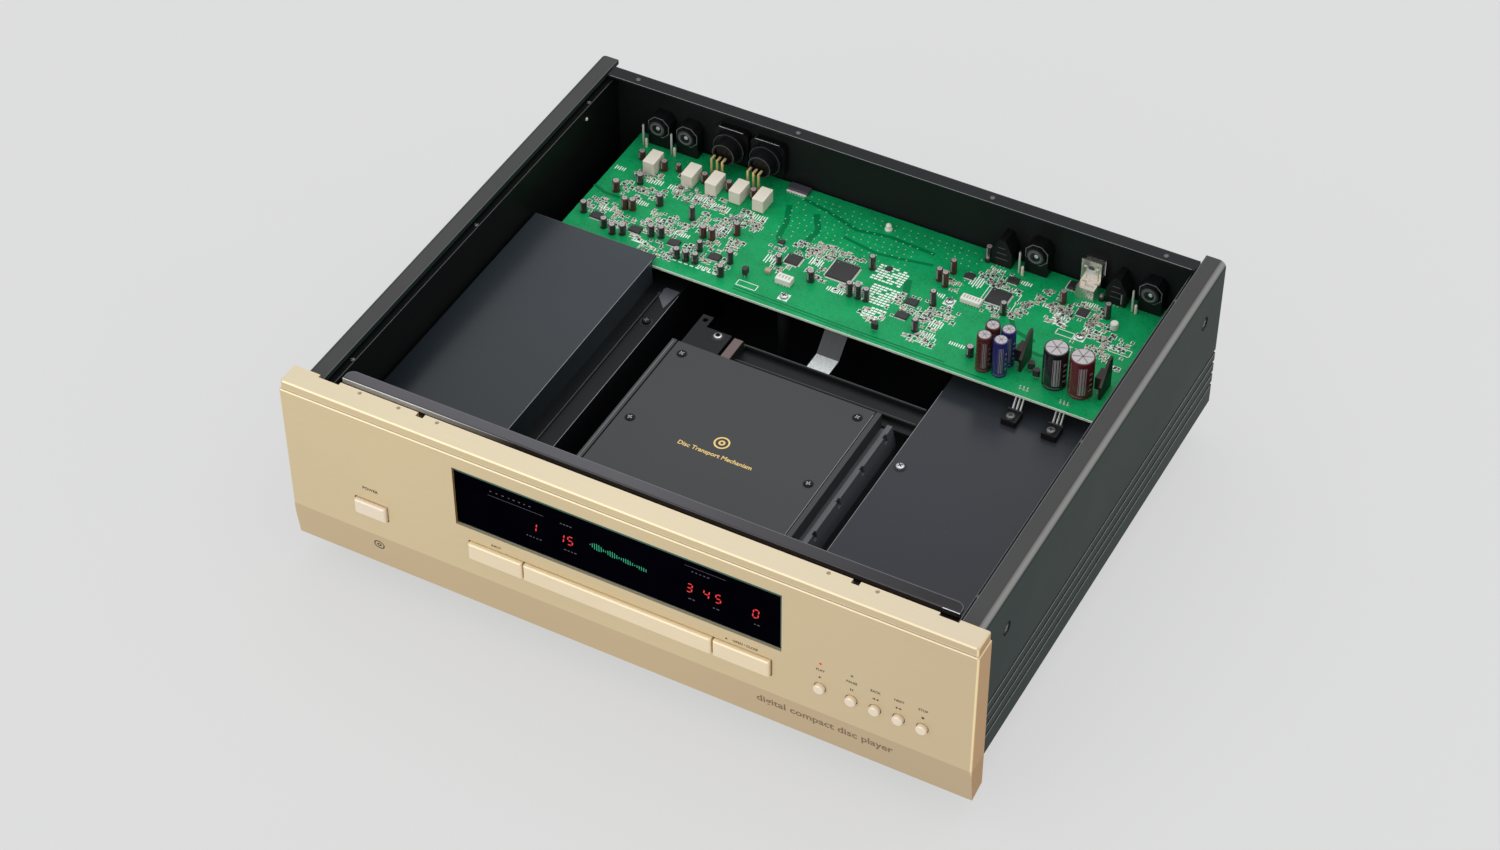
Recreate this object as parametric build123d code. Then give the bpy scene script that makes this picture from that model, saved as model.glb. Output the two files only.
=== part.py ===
"""Front-loading compact disc player with its top cover off, as separate parts.

Millimetres. +X is to the right seen from the front, +Y to the back, +Z up.
The origin is under the middle of the player, at the underside of the feet.
Every function below returns one node, and the last section writes them out.
"""

import os
from math import cos, pi, radians, sin

from build123d import *

# ---------------------------------------------------------------- driving sizes
# front panel
PANEL_W = 465.0
PANEL_H = 131.0
PANEL_THICK = 16.6
PANEL_BASE_Z = 18.0
FACE_Y = -193.5
PANEL_BACK_Y = FACE_Y + PANEL_THICK
PANEL_TOP_Z = PANEL_BASE_Z + PANEL_H
PANEL_CORNER_R = 1.6
TOP_DIMPLE_XS = (-182.9, -155.6, -128.6, 131.6, 162.5)
TOP_BAND_H = 6.5
TOP_BAND_INSET = 1.0
LOW_BAND_Z = PANEL_BASE_Z + 28.5
LOW_BAND_SLOPE = 3.6
PROUD = 3.0                       # how far keys and tray front stand out
KEY_FACE_Y = FACE_Y - PROUD

# display window
WINDOW_X0, WINDOW_X1 = -111.2, 109.3
WINDOW_Z0, WINDOW_Z1 = 85.4, 132.5
WINDOW_SET_IN = 2.0

# row of keys and tray front
BAR_Z0, BAR_Z1 = 61.6, 74.8
BAR_SLOT_HALF = 103.3
BAR_SLOT_GAP = 0.5
TRAY_FRONT_HALF = 63.9
KEY_BAR_X0, KEY_BAR_X1 = 64.9, 102.5
POWER_X = -172.65
POWER_HALF = 11.15
POWER_Z0, POWER_Z1 = 63.0, 74.5
ROUND_KEYS = {
    "play_button": 134.6,
    "pause_button": 154.9,
    "back_button": 170.1,
    "next_button": 185.2,
    "stop_button": 200.4,
}
ROUND_KEY_Z = 68.0
ROUND_KEY_R = 3.5
ROUND_HOLE_R = 4.0
LAMP_Z = 88.2
LAMP_R = 0.9
LAMP_XS = (134.6, 154.9)

# case
SHEET = 1.2
SIDE_OUTER_X = 225.7
SIDE_LIP_X = 212.0
SIDE_WALL = 3.5
SIDE_Z0, SIDE_Z1 = 23.8, 144.0
SIDE_REAR_Y = 181.0
GROOVE_ZS = (41.1, 50.4, 59.7, 69.0)
SIDE_SCREWS = ((-139.0, 112.6), (152.5, 114.6))       # (y, z)
SUBPLATE_THICK = 1.6
SUBPLATE_STEP_Z = 134.0
SUBPLATE_RISER_Y = -163.8
SUBPLATE_TOP_Z = 138.0
SUBPLATE_LIP_Y = -154.8
SUBPLATE_LIP_HALF = 206.8
INNER_WALL_X = 208.3
INNER_WALL_TOP_Z = 138.0
FLOOR_Z0, FLOOR_Z1 = 22.0, 23.8
FLOOR_HALF = 222.0
REAR_IN_Y, REAR_OUT_Y = 173.0, 174.5
REAR_HALF = 211.0
REAR_TOP_Z = 143.4
REAR_LIP_Y = 164.2
FOOT_R = 25.0
FOOT_X, FOOT_Y = 180.0, 140.0

# bays beside the mechanism
LEFT_COVER = (-206.1, -115.5, -150.0, 59.5)            # x0, x1, y0, y1
LEFT_COVER_TOP_Z = 103.0
BAY_TOP_Z = 84.0
LEFT_DIVIDER_X = -94.2
RIGHT_COVER_X = 94.6
BAY_FRONT_Y, BAY_REAR_Y = -165.0, 150.0

# main circuit board
BOARD = (-189.5, 196.0, 54.6, 171.0)                   # x0, x1, y0, y1
BOARD_TOP_Z = 98.0
BOARD_THICK = 1.6
BOARD_PADS = ((-26.7, 67.5), (68.5, 112.8), (155.6, 121.3))
RCA_XS = (-171.8, -150.3, 105.5, 184.5)
RCA_Z = 114.5
RCA_BARREL_R = 4.15
RCA_BARREL_LEN = 16.0
XLR_XS = (-119.1, -91.9)
XLR_Z = 115.5
XLR_PIN_SHIFTS = (-6.1, -1.9, 1.9)
OPTICAL_XS = (82.5, 162.5)
USB_X = 142.7
RELAY_XS = (-163.6, -134.6, -116.7, -98.7, -81.3)
RELAY_Y = 140.8
TALL_CAPS = ((158.5, 75.5, 8.0, 30.0), (176.0, 75.5, 8.0, 30.0))
MID_CAPS = ((113.6, 66.8), (124.6, 67.4), (114.4, 77.4), (124.8, 78.4))
HEAT_SINK_XS = (135.4, 189.4)
HEAT_SINK_Y = 82.4
TRANSISTORS = ((144.0, 44.0), (171.3, 44.0))
INLET_X, INLET_Z = -165.0, 52.0

# disc mechanism
MECH_HALF = 74.0
MECH_WALL = 3.5
MECH_FRONT_Y, MECH_REAR_Y = -172.0, 6.3
MECH_FLOOR_Z0, MECH_FLOOR_Z1 = 28.0, 31.0
MECH_TOP_Z = 91.0
CROSSBAR_END_X = 94.0
SPINDLE_Y = -118.0
DISC_SEAT_Z = 72.0
TRAY_HALF = 62.0
TRAY_FRONT_Y, TRAY_REAR_Y = -190.5, -8.0
TRAY_Z0, TRAY_Z1 = 65.2, 73.0
TRAY_WELL_R = 60.75
TRAY_SMALL_WELL_R = 40.75
TRAY_SLOT_HALF = 18.5
PIVOT_Y, PIVOT_Z = -26.0, 50.0
PIVOT_R = 2.5
RUNNING_GAP = 0.05
SLED_LENS_R = 24.0                # lens distance from the spindle at rest
ROD_XS = (-20.0, 20.0)
ROD_Z = 58.0
SCREW_X, SCREW_Z = -28.0, 57.0

# tray drive: gear module, tooth counts and shaft places
RACK_MODULE = 1.0
PINION_TEETH = 16
WHEEL_MODULE = 0.8
WHEEL_TEETH = 36
BELT_PINION_TEETH = 12
DRIVE_X, DRIVE_Y = 42.0, -158.0
PULLEY_X = DRIVE_X - WHEEL_MODULE * (WHEEL_TEETH + BELT_PINION_TEETH) / 2
MOTOR_X = -14.0
PULLEY_R = 13.0
MOTOR_PULLEY_R = 5.4
GROOVE_DEPTH = 1.5
BELT_THICK = 1.2
BELT_Z = 46.0
SHAFT_R = 2.0


# ---------------------------------------------------------------- shape helpers
def block(x0, x1, y0, y1, z0, z1):
    """Box between two corners."""
    return Pos((x0 + x1) / 2, (y0 + y1) / 2, (z0 + z1) / 2) * Box(x1 - x0, y1 - y0, z1 - z0)


def post(x, y, z0, z1, r):
    """Upright cylinder."""
    return Pos(x, y, (z0 + z1) / 2) * Cylinder(r, z1 - z0)


def rod_y(x, z, y0, y1, r):
    """Cylinder along Y."""
    return Pos(x, (y0 + y1) / 2, z) * Rot(90, 0, 0) * Cylinder(r, y1 - y0)


def rod_x(y, z, x0, x1, r):
    """Cylinder along X."""
    return Pos((x0 + x1) / 2, y, z) * Rot(0, 90, 0) * Cylinder(r, x1 - x0)


def prism_x(points, x0, x1):
    """Solid with a (y, z) outline, from x0 to x1."""
    outline = Plane.YZ.offset(x0) * Polyline(*points, close=True)
    return extrude(make_face(outline), amount=x1 - x0, dir=(1, 0, 0))


def prism_y(points, y0, y1):
    """Solid with an (x, z) outline, from y0 to y1."""
    plane = Plane(origin=(0, y1, 0), x_dir=(1, 0, 0), z_dir=(0, -1, 0))
    outline = plane * Polyline(*points, close=True)
    return extrude(make_face(outline), amount=y1 - y0, dir=(0, -1, 0))


def prism_z(points, z0, z1):
    """Solid with an (x, y) outline, from z0 to z1."""
    outline = Pos(0, 0, z0) * Polyline(*points, close=True)
    return extrude(make_face(outline), amount=z1 - z0, dir=(0, 0, 1))


def slab(x0, x1, y0, y1, z0, z1, r):
    """Plate with rounded corners in plan."""
    plan = Pos((x0 + x1) / 2, (y0 + y1) / 2, z0) * RectangleRounded(x1 - x0, y1 - y0, r)
    return extrude(plan, amount=z1 - z0)


def bar_along_y(x0, x1, z0, z1, y0, y1, r):
    """Bar along Y with rounded corners seen from the front."""
    plane = Plane(origin=((x0 + x1) / 2, y1, (z0 + z1) / 2), x_dir=(1, 0, 0), z_dir=(0, -1, 0))
    return extrude(plane * RectangleRounded(x1 - x0, z1 - z0, r), amount=y1 - y0)


def group(shapes):
    """Separate solids of one node."""
    solids = []
    for shape in shapes:
        solids.extend(shape.solids())
    return Compound(children=solids)


def gear(x, y, z0, z1, module, teeth, first_tooth_deg):
    """Spur gear with straight-sided teeth, one of them centred on the angle given."""
    pitch_r = module * teeth / 2
    step = 2 * pi / teeth
    root_r = pitch_r - 1.25 * module
    tip_r = pitch_r + 0.95 * module
    points = []
    for tooth in range(teeth):
        middle = radians(first_tooth_deg) + tooth * step
        for radius, share in ((root_r, -0.31), (tip_r, -0.10), (tip_r, 0.10), (root_r, 0.31)):
            angle = middle + share * step
            points.append((x + radius * cos(angle), y + radius * sin(angle)))
    return prism_z(points, z0, z1) - post(x, y, z0 - 1, z1 + 1, SHAFT_R + RUNNING_GAP)


def key_body(x0, x1, z0, z1, back_y):
    """Oblong key with a soft front edge, from its face back to back_y."""
    body = bar_along_y(x0, x1, z0, z1, KEY_FACE_Y, back_y, 0.8)
    front = body.faces().sort_by(Axis.Y)[0]
    return fillet(front.edges(), 1.6)


# ---------------------------------------------------------------- front of the case
def panel_layer(inset, z0, z1, top_chamfer):
    """Slice of the front panel, set in from its face and ends, with its front corners rounded."""
    half = PANEL_W / 2 - inset
    layer = block(-half, half, FACE_Y + inset, PANEL_BACK_Y, z0, z1)
    corners = layer.edges().filter_by(Axis.Z).group_by(Axis.Y)[0]
    layer = fillet(corners, PANEL_CORNER_R)
    if top_chamfer:
        rim = layer.faces().sort_by(Axis.Z)[-1].edges()
        rim = rim.filter_by(lambda edge: edge.center().Y < PANEL_BACK_Y - 0.01)
        layer = chamfer(rim, top_chamfer)
    return layer


def front_panel():
    """Thick faceplate: a set-back top band, the main face and a lower band that slopes back."""
    band_z = PANEL_TOP_Z - TOP_BAND_H
    foot_y = FACE_Y + LOW_BAND_SLOPE
    top = panel_layer(TOP_BAND_INSET, band_z, PANEL_TOP_Z, 0.8)
    middle = panel_layer(0.0, LOW_BAND_Z, band_z, 0.6)
    low = panel_layer(0.0, PANEL_BASE_Z, LOW_BAND_Z, 0.0)
    reach = PANEL_W / 2 + 1
    low = low - prism_x(
        [(FACE_Y - 1, PANEL_BASE_Z - 1), (foot_y, PANEL_BASE_Z - 1), (foot_y, PANEL_BASE_Z),
         (FACE_Y, LOW_BAND_Z), (FACE_Y - 1, LOW_BAND_Z)], -reach, reach)
    low = low - prism_x(
        [(foot_y, PANEL_BASE_Z), (PANEL_BACK_Y + 1, PANEL_BASE_Z + 3.2),
         (PANEL_BACK_Y + 1, PANEL_BASE_Z - 1), (foot_y, PANEL_BASE_Z - 1)], -reach, reach)
    panel = top + middle + low

    through = (FACE_Y - 1, PANEL_BACK_Y + 1)
    panel -= block(WINDOW_X0, WINDOW_X1, *through, WINDOW_Z0, WINDOW_Z1)
    panel -= bar_along_y(-BAR_SLOT_HALF, BAR_SLOT_HALF, BAR_Z0 - BAR_SLOT_GAP, BAR_Z1 + BAR_SLOT_GAP,
                         *through, 1.0)
    panel -= bar_along_y(POWER_X - POWER_HALF - 0.8, POWER_X + POWER_HALF + 0.8,
                         POWER_Z0 - 0.8, POWER_Z1 + 0.8, *through, 1.0)
    for x in ROUND_KEYS.values():
        panel -= rod_y(x, ROUND_KEY_Z, *through, ROUND_HOLE_R)
    for x in LAMP_XS:
        panel -= rod_y(x, LAMP_Z, *through, LAMP_R)
    for x0, x1, depth in ((-212.5, -198.0, 2.4), (-143.2, -138.2, 3.4), (146.0, 151.0, 3.4),
                          (200.5, 213.0, 2.4)):
        panel -= block(x0, x1, PANEL_BACK_Y - depth, PANEL_BACK_Y + 1, PANEL_TOP_Z - 5, PANEL_TOP_Z + 1)
    for x in TOP_DIMPLE_XS:
        panel -= post(x, PANEL_BACK_Y - 2.5, PANEL_TOP_Z - 0.3, PANEL_TOP_Z + 1, 1.3)
    return panel


def display_window():
    """Dark glass that fills the window opening, set in behind the face."""
    front = FACE_Y + WINDOW_SET_IN
    return block(WINDOW_X0, WINDOW_X1, front, front + 3.1, WINDOW_Z0, WINDOW_Z1)


def front_boards():
    """Display board with its digit modules, and the two key boards with their switches."""
    parts = [block(-105, 105, -183.0, -181.4, 88, 130)]
    for x in (-57.1, -35.3, 49.0, 64.0, 91.5):
        parts.append(block(x - 7.0, x + 7.0, -186.6, -183.0, 98, 115))
    board_y = PANEL_BACK_Y + 5.3
    for x0, x1 in ((-112.0, -75.0), (75.0, 207.0)):
        parts.append(block(x0, x1, board_y, board_y + 1.6, 56, 94))
    switches = [(-83.7, 68.2), (83.7, 68.2)] + [(x, ROUND_KEY_Z) for x in ROUND_KEYS.values()]
    for x, z in switches:
        parts.append(block(x - 3, x + 3, board_y - 3.4, board_y, z - 3, z + 3))
    for x in LAMP_XS:
        parts.append(rod_y(x, LAMP_Z, FACE_Y + 0.2, board_y, LAMP_R - 0.1))
    return group(parts)


def front_subplate():
    """Steel plate behind the faceplate, stepped back near its top and ending in a lip."""
    back = PANEL_BACK_Y + SUBPLATE_THICK
    riser_back = SUBPLATE_RISER_Y + SUBPLATE_THICK
    step_base = SUBPLATE_STEP_Z - SUBPLATE_THICK
    half = SUBPLATE_LIP_HALF
    wall_half = INNER_WALL_X + SHEET
    plate = block(-wall_half, wall_half, PANEL_BACK_Y, back, FLOOR_Z1, step_base)
    plate += block(-half, half, PANEL_BACK_Y, riser_back, step_base, SUBPLATE_STEP_Z)
    plate += block(-half, half, SUBPLATE_RISER_Y, riser_back, SUBPLATE_STEP_Z, SUBPLATE_TOP_Z)
    lip = block(-half, half, SUBPLATE_RISER_Y, SUBPLATE_LIP_Y, SUBPLATE_TOP_Z - SUBPLATE_THICK, SUBPLATE_TOP_Z)
    lip = fillet(lip.edges().filter_by(Axis.Z).group_by(Axis.Y)[-1], 5.0)
    plate += lip
    through = (PANEL_BACK_Y - 1, back + 1)
    plate -= block(-106, 106, *through, 87, 131)
    plate -= block(-104.5, 104.5, *through, 60.0, 76.5)
    plate -= block(POWER_X - 13, POWER_X + 13, *through, POWER_Z0 - 2, POWER_Z1 + 2)
    for x in ROUND_KEYS.values():
        plate -= rod_y(x, ROUND_KEY_Z, *through, 5.0)
    for x in LAMP_XS:
        plate -= rod_y(x, LAMP_Z, *through, 2.0)
    return plate


def power_button():
    """Power key with its push stem."""
    key = key_body(POWER_X - POWER_HALF, POWER_X + POWER_HALF, POWER_Z0, POWER_Z1, PANEL_BACK_Y - 2)
    middle_z = (POWER_Z0 + POWER_Z1) / 2
    return key + block(POWER_X - 3, POWER_X + 3, PANEL_BACK_Y - 2, -166.5, middle_z - 3, middle_z + 3)


def power_switch():
    """Mains switch on its bracket, right behind the power key."""
    middle_z = (POWER_Z0 + POWER_Z1) / 2
    body = block(POWER_X - 11, POWER_X + 11, -161.0, -131.0, middle_z - 9, middle_z + 9)
    plunger = block(POWER_X - 3, POWER_X + 3, -164.0, -161.0, middle_z - 3, middle_z + 3)
    bracket = block(POWER_X - 13, POWER_X + 13, -158.0, -156.8, FLOOR_Z1, middle_z - 9)
    return body + plunger + bracket + block(POWER_X - 13, POWER_X + 13, -158.0, -140.0, FLOOR_Z1, 25.0)


def bar_key(side):
    """Oblong key beside the tray front: side is -1 for the left one, 1 for the right one."""
    x0, x1 = sorted((side * KEY_BAR_X0, side * KEY_BAR_X1))
    key = key_body(x0, x1, BAR_Z0, BAR_Z1, FACE_Y + 8)
    middle = (x0 + x1) / 2
    return key + block(middle - 2.5, middle + 2.5, FACE_Y + 8, PANEL_BACK_Y + 0.6, 65.7, 70.7)


def round_key(x):
    """Small round key with a domed face and a stem."""
    cap = rod_y(x, ROUND_KEY_Z, KEY_FACE_Y, FACE_Y + 8, ROUND_KEY_R)
    cap = fillet(cap.faces().sort_by(Axis.Y)[0].edges(), 1.2)
    return cap + rod_y(x, ROUND_KEY_Z, FACE_Y + 8, PANEL_BACK_Y + 0.6, 2.0)


# ---------------------------------------------------------------- rest of the case
def side_panel(side):
    """Extruded side: a C section with a rounded top edge and grooves along its lower half."""
    outer = block(SIDE_LIP_X, SIDE_OUTER_X, PANEL_BACK_Y, SIDE_REAR_Y, SIDE_Z0, SIDE_Z1)
    along = outer.edges().filter_by(Axis.Y)
    outer = fillet(along.filter_by(
        lambda edge: edge.center().X > SIDE_OUTER_X - 1 and edge.center().Z > SIDE_Z1 - 1), 5.0)
    along = outer.edges().filter_by(Axis.Y)
    outer = fillet(along.filter_by(
        lambda edge: edge.center().X > SIDE_OUTER_X - 1 and edge.center().Z < SIDE_Z0 + 1), 1.5)
    panel = outer - block(SIDE_LIP_X - 1, SIDE_OUTER_X - SIDE_WALL, PANEL_BACK_Y - 1, SIDE_REAR_Y + 1,
                          SIDE_Z0 + SIDE_WALL, SIDE_Z1 - SIDE_WALL)
    for z in GROOVE_ZS:
        panel -= block(SIDE_OUTER_X - 1.3, SIDE_OUTER_X + 1, PANEL_BACK_Y - 1, SIDE_REAR_Y + 1,
                       z - 1.3, z + 1.3)
    for y, z in SIDE_SCREWS:
        panel -= rod_x(y, z, SIDE_OUTER_X - 2.0, SIDE_OUTER_X + 1, 4.4)
        panel -= rod_x(y, z, SIDE_OUTER_X - 6.0, SIDE_OUTER_X, 2.0)
    return panel if side > 0 else mirror(panel, Plane.YZ)


def inner_wall(side):
    """Folded steel wall inside a side panel, with its top lip and two screw brackets."""
    front = PANEL_BACK_Y + SUBPLATE_THICK
    outer = INNER_WALL_X + SHEET
    wall = block(INNER_WALL_X, outer, front, REAR_IN_Y, FLOOR_Z1, INNER_WALL_TOP_Z)
    wall += block(outer, 219.0, front, REAR_IN_Y, INNER_WALL_TOP_Z - SHEET, INNER_WALL_TOP_Z)
    for y, z in SIDE_SCREWS:
        bracket = block(outer, SIDE_OUTER_X - SIDE_WALL, y - 9, y + 9, z - 8, z + 8)
        wall += bracket - rod_x(y, z, SIDE_OUTER_X - SIDE_WALL - 6, SIDE_OUTER_X, 2.0)
    return wall if side > 0 else mirror(wall, Plane.YZ)


def bottom_plate():
    """Base plate with cooling slots under the left bay and studs for the main board."""
    plate = block(-FLOOR_HALF, FLOOR_HALF, PANEL_BACK_Y, REAR_OUT_Y, FLOOR_Z0, FLOOR_Z1)
    for row in range(4):
        for column in range(9):
            x = -198.0 + 10.0 * column
            y = -60.0 + 30.0 * row
            plate -= slab(x - 2, x + 2, y - 10, y + 10, FLOOR_Z0 - 1, FLOOR_Z1 + 1, 1.9)
    for x, y in BOARD_PADS[:2]:
        plate += post(x, y, FLOOR_Z1, BOARD_TOP_Z - BOARD_THICK, 4.0)
    return plate


def rear_panel():
    """Back plate with a lip turned forward along its top and the connector openings."""
    plate = block(-REAR_HALF, REAR_HALF, REAR_IN_Y, REAR_OUT_Y, FLOOR_Z1, REAR_TOP_Z)
    plate += block(-REAR_HALF, REAR_HALF, REAR_LIP_Y, REAR_IN_Y, REAR_TOP_Z - 1.5, REAR_TOP_Z)
    through = (REAR_IN_Y - 1, REAR_OUT_Y + 1)
    for x in RCA_XS:
        plate -= rod_y(x, RCA_Z, *through, 5.3)
    for x in XLR_XS:
        plate -= rod_y(x, XLR_Z, *through, 11.9)
    for x in OPTICAL_XS:
        plate -= block(x - 5.2, x + 5.2, *through, 102.0, 112.4)
    plate -= block(USB_X - 6.6, USB_X + 6.6, *through, 106.0, 119.0)
    plate -= block(INLET_X - 14, INLET_X + 14, *through, INLET_Z - 10.5, INLET_Z + 10.5)
    for row in range(3):
        for column in range(10):
            x = 40.0 + 14.0 * column
            z = 40.0 + 10.0 * row
            plate -= block(x - 5, x + 5, *through, z - 1.5, z + 1.5)
    return plate


def foot(x, y):
    """Turned iron foot with a waist groove and a hollow underside."""
    half = [(0, 2.0), (17.0, 2.0), (17.0, 0.0), (23.0, 0.0), (FOOT_R, 2.0), (FOOT_R, 12.0),
            (23.0, 13.5), (23.0, 15.5), (FOOT_R, 17.0), (FOOT_R, FLOOR_Z0 - 1.0),
            (FOOT_R - 1.0, FLOOR_Z0), (0, FLOOR_Z0)]
    face = make_face(Plane.XZ * Polyline(*half, close=True))
    return Pos(x, y, 0) * revolve(face, Axis.Z)


def left_bay_cover():
    """Raised lid over the power supply bay, standing on the divider."""
    x0, x1, y0, y1 = LEFT_COVER
    top = LEFT_COVER_TOP_Z - SHEET
    lid = block(x0, x1, y0, y1, top, LEFT_COVER_TOP_Z)
    lid += block(x0, x1, y0, y0 + SHEET, BAY_TOP_Z, top)
    lid += block(x1 - SHEET, x1, y0, BOARD[2] - 0.6, BAY_TOP_Z, top)
    return lid + block(x0, x0 + SHEET, y0, y1, top - 10.8, top)


def left_divider():
    """Upright sheet between the left bay and the mechanism, with a wide top lip."""
    wall = block(LEFT_DIVIDER_X - SHEET, LEFT_DIVIDER_X, BAY_FRONT_Y, BAY_REAR_Y, FLOOR_Z1, BAY_TOP_Z)
    lip = block(-119.0, LEFT_DIVIDER_X - SHEET, BAY_FRONT_Y, BAY_REAR_Y, BAY_TOP_Z - SHEET, BAY_TOP_Z)
    ridge = block(-107.0, -105.6, BAY_FRONT_Y, 50.0, BAY_TOP_Z, BAY_TOP_Z + 0.8)
    return wall + lip + ridge


def right_bay_cover():
    """Flat lid over the right bay, with a wall down to the floor beside the mechanism."""
    lid = block(RIGHT_COVER_X, 207.8, BAY_FRONT_Y, BAY_REAR_Y, BAY_TOP_Z - SHEET, BAY_TOP_Z)
    lid += block(RIGHT_COVER_X, RIGHT_COVER_X + SHEET, BAY_FRONT_Y, BAY_REAR_Y,
                 FLOOR_Z1, BAY_TOP_Z - SHEET)
    lid += block(207.8 - SHEET, 207.8, BAY_FRONT_Y, BAY_REAR_Y, BAY_TOP_Z - 12, BAY_TOP_Z - SHEET)
    x, y = BOARD_PADS[2]
    return lid + post(x, y, BAY_TOP_Z, BOARD_TOP_Z - BOARD_THICK, 4.0)


def screw_heads():
    """Pan heads of the machine screws, each on the face that it clamps."""
    heads = []
    for x, y, z in (
        (-100.6, 19.0, BAY_TOP_Z), (101.6, -23.7, BAY_TOP_Z),
        (-49.4, 20.9, MECH_TOP_Z), *[(x, y, BOARD_TOP_Z) for x, y in BOARD_PADS],
        *[(x, y, BAY_TOP_Z + 4.6) for x, y in TRANSISTORS],
    ):
        heads.append(screw_head(2.9, 2.0, Pos(x, y, z)))
    for x in (-62.0, 62.0):
        for y in (-3.5, -69.3, -135.1):
            heads.append(screw_head(2.9, 0.8, Pos(x, y, MECH_TOP_Z)))
    for y, z in SIDE_SCREWS:
        heads.append(screw_head(4.1, 1.6, Pos(SIDE_OUTER_X - 2.0, y, z) * Rot(0, 90, 0)))
        heads.append(screw_head(4.1, 1.6, Pos(-SIDE_OUTER_X + 2.0, y, z) * Rot(0, -90, 0)))
    return group(heads)


def screw_head(r, height, place):
    """Round head with a cross recess, standing up from its place."""
    head = Pos(0, 0, height / 2) * Cylinder(r, height)
    head = fillet(head.faces().sort_by(Axis.Z)[-1].edges(), height * 0.45)
    slot = Pos(0, 0, height) * Box(r * 1.2, r * 0.26, height * 0.8)
    return place * (head - slot - Rot(0, 0, 90) * slot)


# ---------------------------------------------------------------- disc mechanism
def mech_base():
    """Open tray of cast metal: floor, walls, tray guides, pivot ears and gear posts."""
    inner = MECH_HALF - MECH_WALL
    base = block(-MECH_HALF, MECH_HALF, MECH_FRONT_Y, MECH_REAR_Y, MECH_FLOOR_Z0, MECH_FLOOR_Z1)
    base += block(-inner, inner, MECH_REAR_Y - 4, MECH_REAR_Y, MECH_FLOOR_Z1, MECH_TOP_Z - 1.5)
    for side in (-1, 1):
        x0, x1 = sorted((side * inner, side * MECH_HALF))
        base += block(x0, x1, MECH_FRONT_Y, MECH_REAR_Y, MECH_FLOOR_Z1, MECH_TOP_Z + 0.5)
        for z0, z1, reach in ((60.0, TRAY_Z0 - 0.2, 58.5), (TRAY_Z1 + 0.3, 75.5, 59.0),
                              (MECH_TOP_Z - 4.5, MECH_TOP_Z - 1.5, 66.0)):
            x0, x1 = sorted((side * reach, side * inner))
            base += block(x0, x1, MECH_FRONT_Y, MECH_REAR_Y - 4, z0, z1)
        for y in (-150.0, -15.0):
            base += post(side * 60.0, y, FLOOR_Z1, MECH_FLOOR_Z0, 5.0)
    for x in (-46.0, 36.0):
        ear = block(x - 3, x + 3, PIVOT_Y - 5, PIVOT_Y + 5, MECH_FLOOR_Z1, PIVOT_Z + 5)
        base += ear - rod_x(PIVOT_Y, PIVOT_Z, x - 4, x + 4, PIVOT_R + RUNNING_GAP)
    base += post(DRIVE_X, DRIVE_Y, MECH_FLOOR_Z1, 64.0, SHAFT_R)
    base += post(DRIVE_X, DRIVE_Y, MECH_FLOOR_Z1, 53.7, 4.0)
    base += post(PULLEY_X, DRIVE_Y, MECH_FLOOR_Z1, 58.5, SHAFT_R)
    base += post(PULLEY_X, DRIVE_Y, MECH_FLOOR_Z1, 43.6, 4.0)
    return base


def mech_top_plate():
    """Plate that closes the mechanism, resting on the ledges inside its walls."""
    return slab(-69.7, 69.7, -170.0, MECH_REAR_Y, MECH_TOP_Z - 1.5, MECH_TOP_Z, 0.5)


def mech_side_rails():
    """Damping rails outside the mechanism's walls; the right one is taller and notched."""
    right = prism_y([(MECH_HALF, 30.0), (84.5, 30.0), (84.5, 70.0), (81.5, 84.0), (78.0, 84.0),
                     (78.0, 80.0), (MECH_HALF, 80.0)], -158.0, MECH_REAR_Y)
    for step in range(4):
        y = -4.0 - 31.5 * step
        right -= block(80.3, 85.0, y - 2.0, y + 2.0, 79.0, 85.0)
    left = block(-79.0, -MECH_HALF, -158.0, 6.0, 30.0, 58.0)
    return group([right, left])


def mech_crossbar():
    """Channel across the back of the mechanism, with a corner bracket and a damping block."""
    channel = block(-40.0, CROSSBAR_END_X, MECH_REAR_Y, 29.0, 80.0, 81.5)
    channel += block(-40.0, CROSSBAR_END_X, 27.5, 29.0, 81.5, 85.0)
    channel += block(-40.0, CROSSBAR_END_X, 12.5, 14.0, 81.5, 85.0)
    bracket = block(-68.0, -42.0, MECH_REAR_Y, 26.0, MECH_TOP_Z - 1.5, MECH_TOP_Z)
    bracket += block(-68.0, -60.5, 26.0, 36.0, MECH_TOP_Z - 1.5, MECH_TOP_Z)
    bracket += block(-68.0, -42.0, MECH_REAR_Y, MECH_REAR_Y + 1.5, 80.0, MECH_TOP_Z - 1.5)
    bracket -= post(-64.2, 31.5, 80.0, 100.0, 1.8)
    damper = block(-40.0, -33.5, MECH_REAR_Y, 26.0, 85.0, 90.0)
    damper_leg = block(-40.0, -33.5, 14.0, 27.5, 81.5, 85.0)
    return group([channel + damper + damper_leg, bracket])


def clamp_bridge():
    """Cross strip that carries the disc clamp above the tray."""
    reach = MECH_HALF - MECH_WALL
    bridge = block(-reach, reach, SPINDLE_Y - 18, SPINDLE_Y + 18, 79.5, 81.5)
    for side in (-1, 1):
        x0, x1 = sorted((side * 62.0, side * reach))
        bridge += block(x0, x1, SPINDLE_Y - 18, SPINDLE_Y + 18, 75.5, 79.5)
        bridge -= slab(side * 38 - 12, side * 38 + 12, SPINDLE_Y - 9, SPINDLE_Y + 9, 79, 82, 4)
    return bridge - post(0, SPINDLE_Y, 79, 82, 10.5)


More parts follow.
